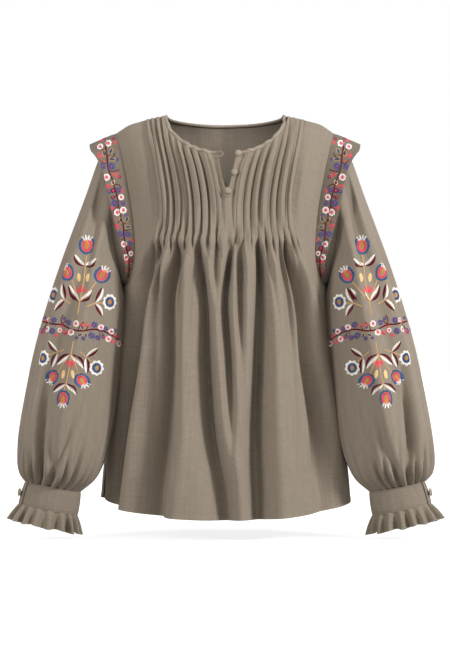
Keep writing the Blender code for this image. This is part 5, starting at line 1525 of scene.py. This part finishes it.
def finishWork(work, name, materials=None):
    # all the stitches as one mesh: each a small raised strip whose ends dip into the cloth
    places, normals = np.concatenate(work["places"]), np.concatenate(work["normals"])
    colours, lifts, widths = (np.concatenate(work[k]) for k in ("colours", "lifts", "widths"))
    jitter = np.array([stitchRandom.uniform(0.88, 1.12) for _ in range(len(places))])
    ahead = unit(places[:, 3] - places[:, 0])[:, None, :]
    across = unit(np.cross(normals, np.broadcast_to(ahead, normals.shape)))
    crown, edges, taper = (np.array(satin[k])[None, :, None] for k in ("crown", "edges", "taper"))
    high = crown * (lifts * jitter * satin["lift"])[:, None, None]
    low = edges * (lifts * satin["lift"])[:, None, None] - satin["sink"]
    wide = widths[:, None, None] * taper
    strips = np.stack([places + across * wide + normals * low, places + normals * high,
                       places - across * wide + normals * low], axis=2)
    base = np.arange(len(places))[:, None, None] * 12
    k, j = np.meshgrid(np.arange(3), np.arange(2), indexing="ij")
    corner = (k * 3 + j).ravel()[None, :]
    first = base[:, :, 0] + corner
    quads = np.stack([first, first + 1, first + 4, first + 3], axis=2).reshape(-1, 4)
    slots = np.repeat(colours.astype(int), 6)
    used = sorted(set(slots))
    materials = materials or threadMaterials
    piece = makeMesh(name, strips.reshape(-1, 3), quads, [materials[k] for k in used],
                     slots=np.searchsorted(used, slots))
    settle(piece)
    print(name, len(places), "stitches")
    return piece


def vineWork(work, surface, side, chart, fromBack):
    # a vine and all that grows on it, from the lowest layer up
    layStem(work, surface, side, chart["vine"], "burgundy", chart["vineWidth"], 3, fromBack)
    for twig in chart["twigs"]:
        layStem(work, surface, side, twig, "burgundy", chart["twigWidth"], 2, fromBack)
    for kind, motif in (("rosettes", rosette), ("fans", smallFan), ("berries", berry), ("blueFlowers", violetFlower),
                        ("outlined", outlinedLeaf), ("drops", drop), ("whiteFlowers", whiteFlower)):
        layAll(work, surface, side, chart.get(kind, []), motif, fromBack)


sideGarland = {     # depth and height on the sleeve's outer side, out of sight in the picture: guessed
    "white": [(-0.112, -0.339, 0.95), (-0.062, -0.327, 1.05), (-0.022, -0.340, 0.95)],
    "violet": [(-0.096, -0.327, 0.95), (-0.080, -0.342, 1.0), (-0.043, -0.341, 0.95), (-0.034, -0.326, 0.85)],
    "rosettes": [(-0.070, -0.340, 0.6), (-0.052, -0.341, 0.5), (-0.103, -0.331, 0.5), (-0.012, -0.329, 0.55)],
}


def layAtSide(work, surface, side, y, z, stitches):
    # sets a motif down on the sleeve's outer side
    hit, _, index, _ = surface["tree"].ray_cast(Vector((side, y, z)), Vector((-side, 0, 0)))
    normal = surface["normal"][index]
    up = unit(np.array([0, 0, 1.0]) - normal * normal[2])
    stitchOn(work, surface, np.array(hit), up, np.cross(normal, up), stitches)


def garlandAtSide(work, surface, side):
    for kind, motif in (("violet", violetFlower), ("white", whiteFlower), ("rosettes", rosette)):
        for y, z, size in sideGarland[kind]:
            layAtSide(work, surface, side, y, z, motif(size))


def embroiderSleeve(word, side, surface):
    work = newWork()
    for route in sleeveChart["stems"]:
        layStem(work, surface, side, route, "gold", 0.00045)
    for leaf in sleeveChart["leaves"]:
        layLeaf(work, surface, side, leaf)
    for kind, motif in (("fans", fan), ("buds", bud), ("tulips", tulip), ("daisies", daisy)):
        layAll(work, surface, side, sleeveChart[kind], motif)
    for fromBack in (False, True):
        vineWork(work, surface, side, garlandChart, fromBack)
    garlandAtSide(work, surface, side)
    return finishWork(work, "embroidery_sleeve_" + word)


def embroiderFlange(word, side, surface):
    work = newWork()
    for fromBack in (False, True):
        vineWork(work, surface, side, flangeChart, fromBack)
    return finishWork(work, "embroidery_flange_" + word)


for word, sleeve in sleeves.items():
    surface = clothSurface(sleeve["outer"], sleeve["normal"], True)
    embroiderSleeve(word, sleeve["side"], surface)
    piece, grid, wall = flanges[word]
    embroiderFlange(word, sleeve["side"], clothSurface(grid, wall, False))
print("embroidery worked")

# topstitching
seams = {"stitch": 0.0023, "gap": 0.0006, "halfWidth": 0.00028, "lift": 0.00034}
seamMaterial = groupedMaterial("sewingLinen", threadGroup, {"Colour": (*linenTones["sewing"], 1)},
                               bumpDistance=0.0001, bumpStrength=0.5)


def stitchAlong(work, path, normals, stitch=seams["stitch"]):
    # a row of running stitches along a seam
    steps = runLength(path)
    count = int(steps[-1] / (stitch + seams["gap"]))
    begin = np.arange(count) * steps[-1] / count + seams["gap"] / 2
    wanted = begin[:, None] + np.array(satin["rows"]) * stitch
    places = np.stack([np.interp(wanted, steps, path[:, k]) for k in range(3)], axis=2)
    outs = unit(np.stack([np.interp(wanted, steps, normals[:, k]) for k in range(3)], axis=2))
    work["places"].append(places)
    work["normals"].append(outs)
    work["colours"].append(np.zeros(count))
    work["lifts"].append(np.full(count, seams["lift"] / satin["lift"]))
    work["widths"].append(np.full(count, seams["halfWidth"]))


def sewOn(work, name):
    return finishWork(work, name, [seamMaterial])


for word, outer, normal in (("front", frontOuter, frontNormal), ("back", backOuter, backNormal)):
    work = newWork()
    stitchAlong(work, outer[-4], normal[-4])
    if word == "front":
        for handed in (-1, 1):
            line = []
            for z in np.linspace(-0.071, slitBase + 0.001, 30):
                away = float(smoothAt(frontSlit, "halfWidth", z)) + 0.0036
                line.append(overFront(frontTree, slitShift + handed * away, z, 0.0002))
            stitchAlong(work, np.array([spot[0] for spot in line]), np.array([spot[1] for spot in line]), 0.0018)
    sewOn(work, "stitches_" + word)
for word in sleeves:
    piece, outer, out = cuffs[word]
    work = newWork()
    for down in (cuffCut["seamAt"], cuffCut["height"] - cuffCut["seamAt"]):
        row = (down / cuffCut["height"]) / (1 + 2 * cuffCut["overrun"]) * (cuffCut["rows"] - 1)
        near, share = int(row), row - int(row)
        shown = slice(round(cuffCut["around"] * 0.09), None)
        stitchAlong(work, (outer[near] * (1 - share) + outer[near + 1] * share)[shown], out[near][shown], 0.0020)
    sewOn(work, "stitches_cuff_" + word)
    piece, outer, normal = frills[word]
    work = newWork()
    stitchAlong(work, outer[-4] + normal[-4] * 0.0001, normal[-4], 0.0016)
    sewOn(work, "stitches_frill_" + word)
print("topstitching done")
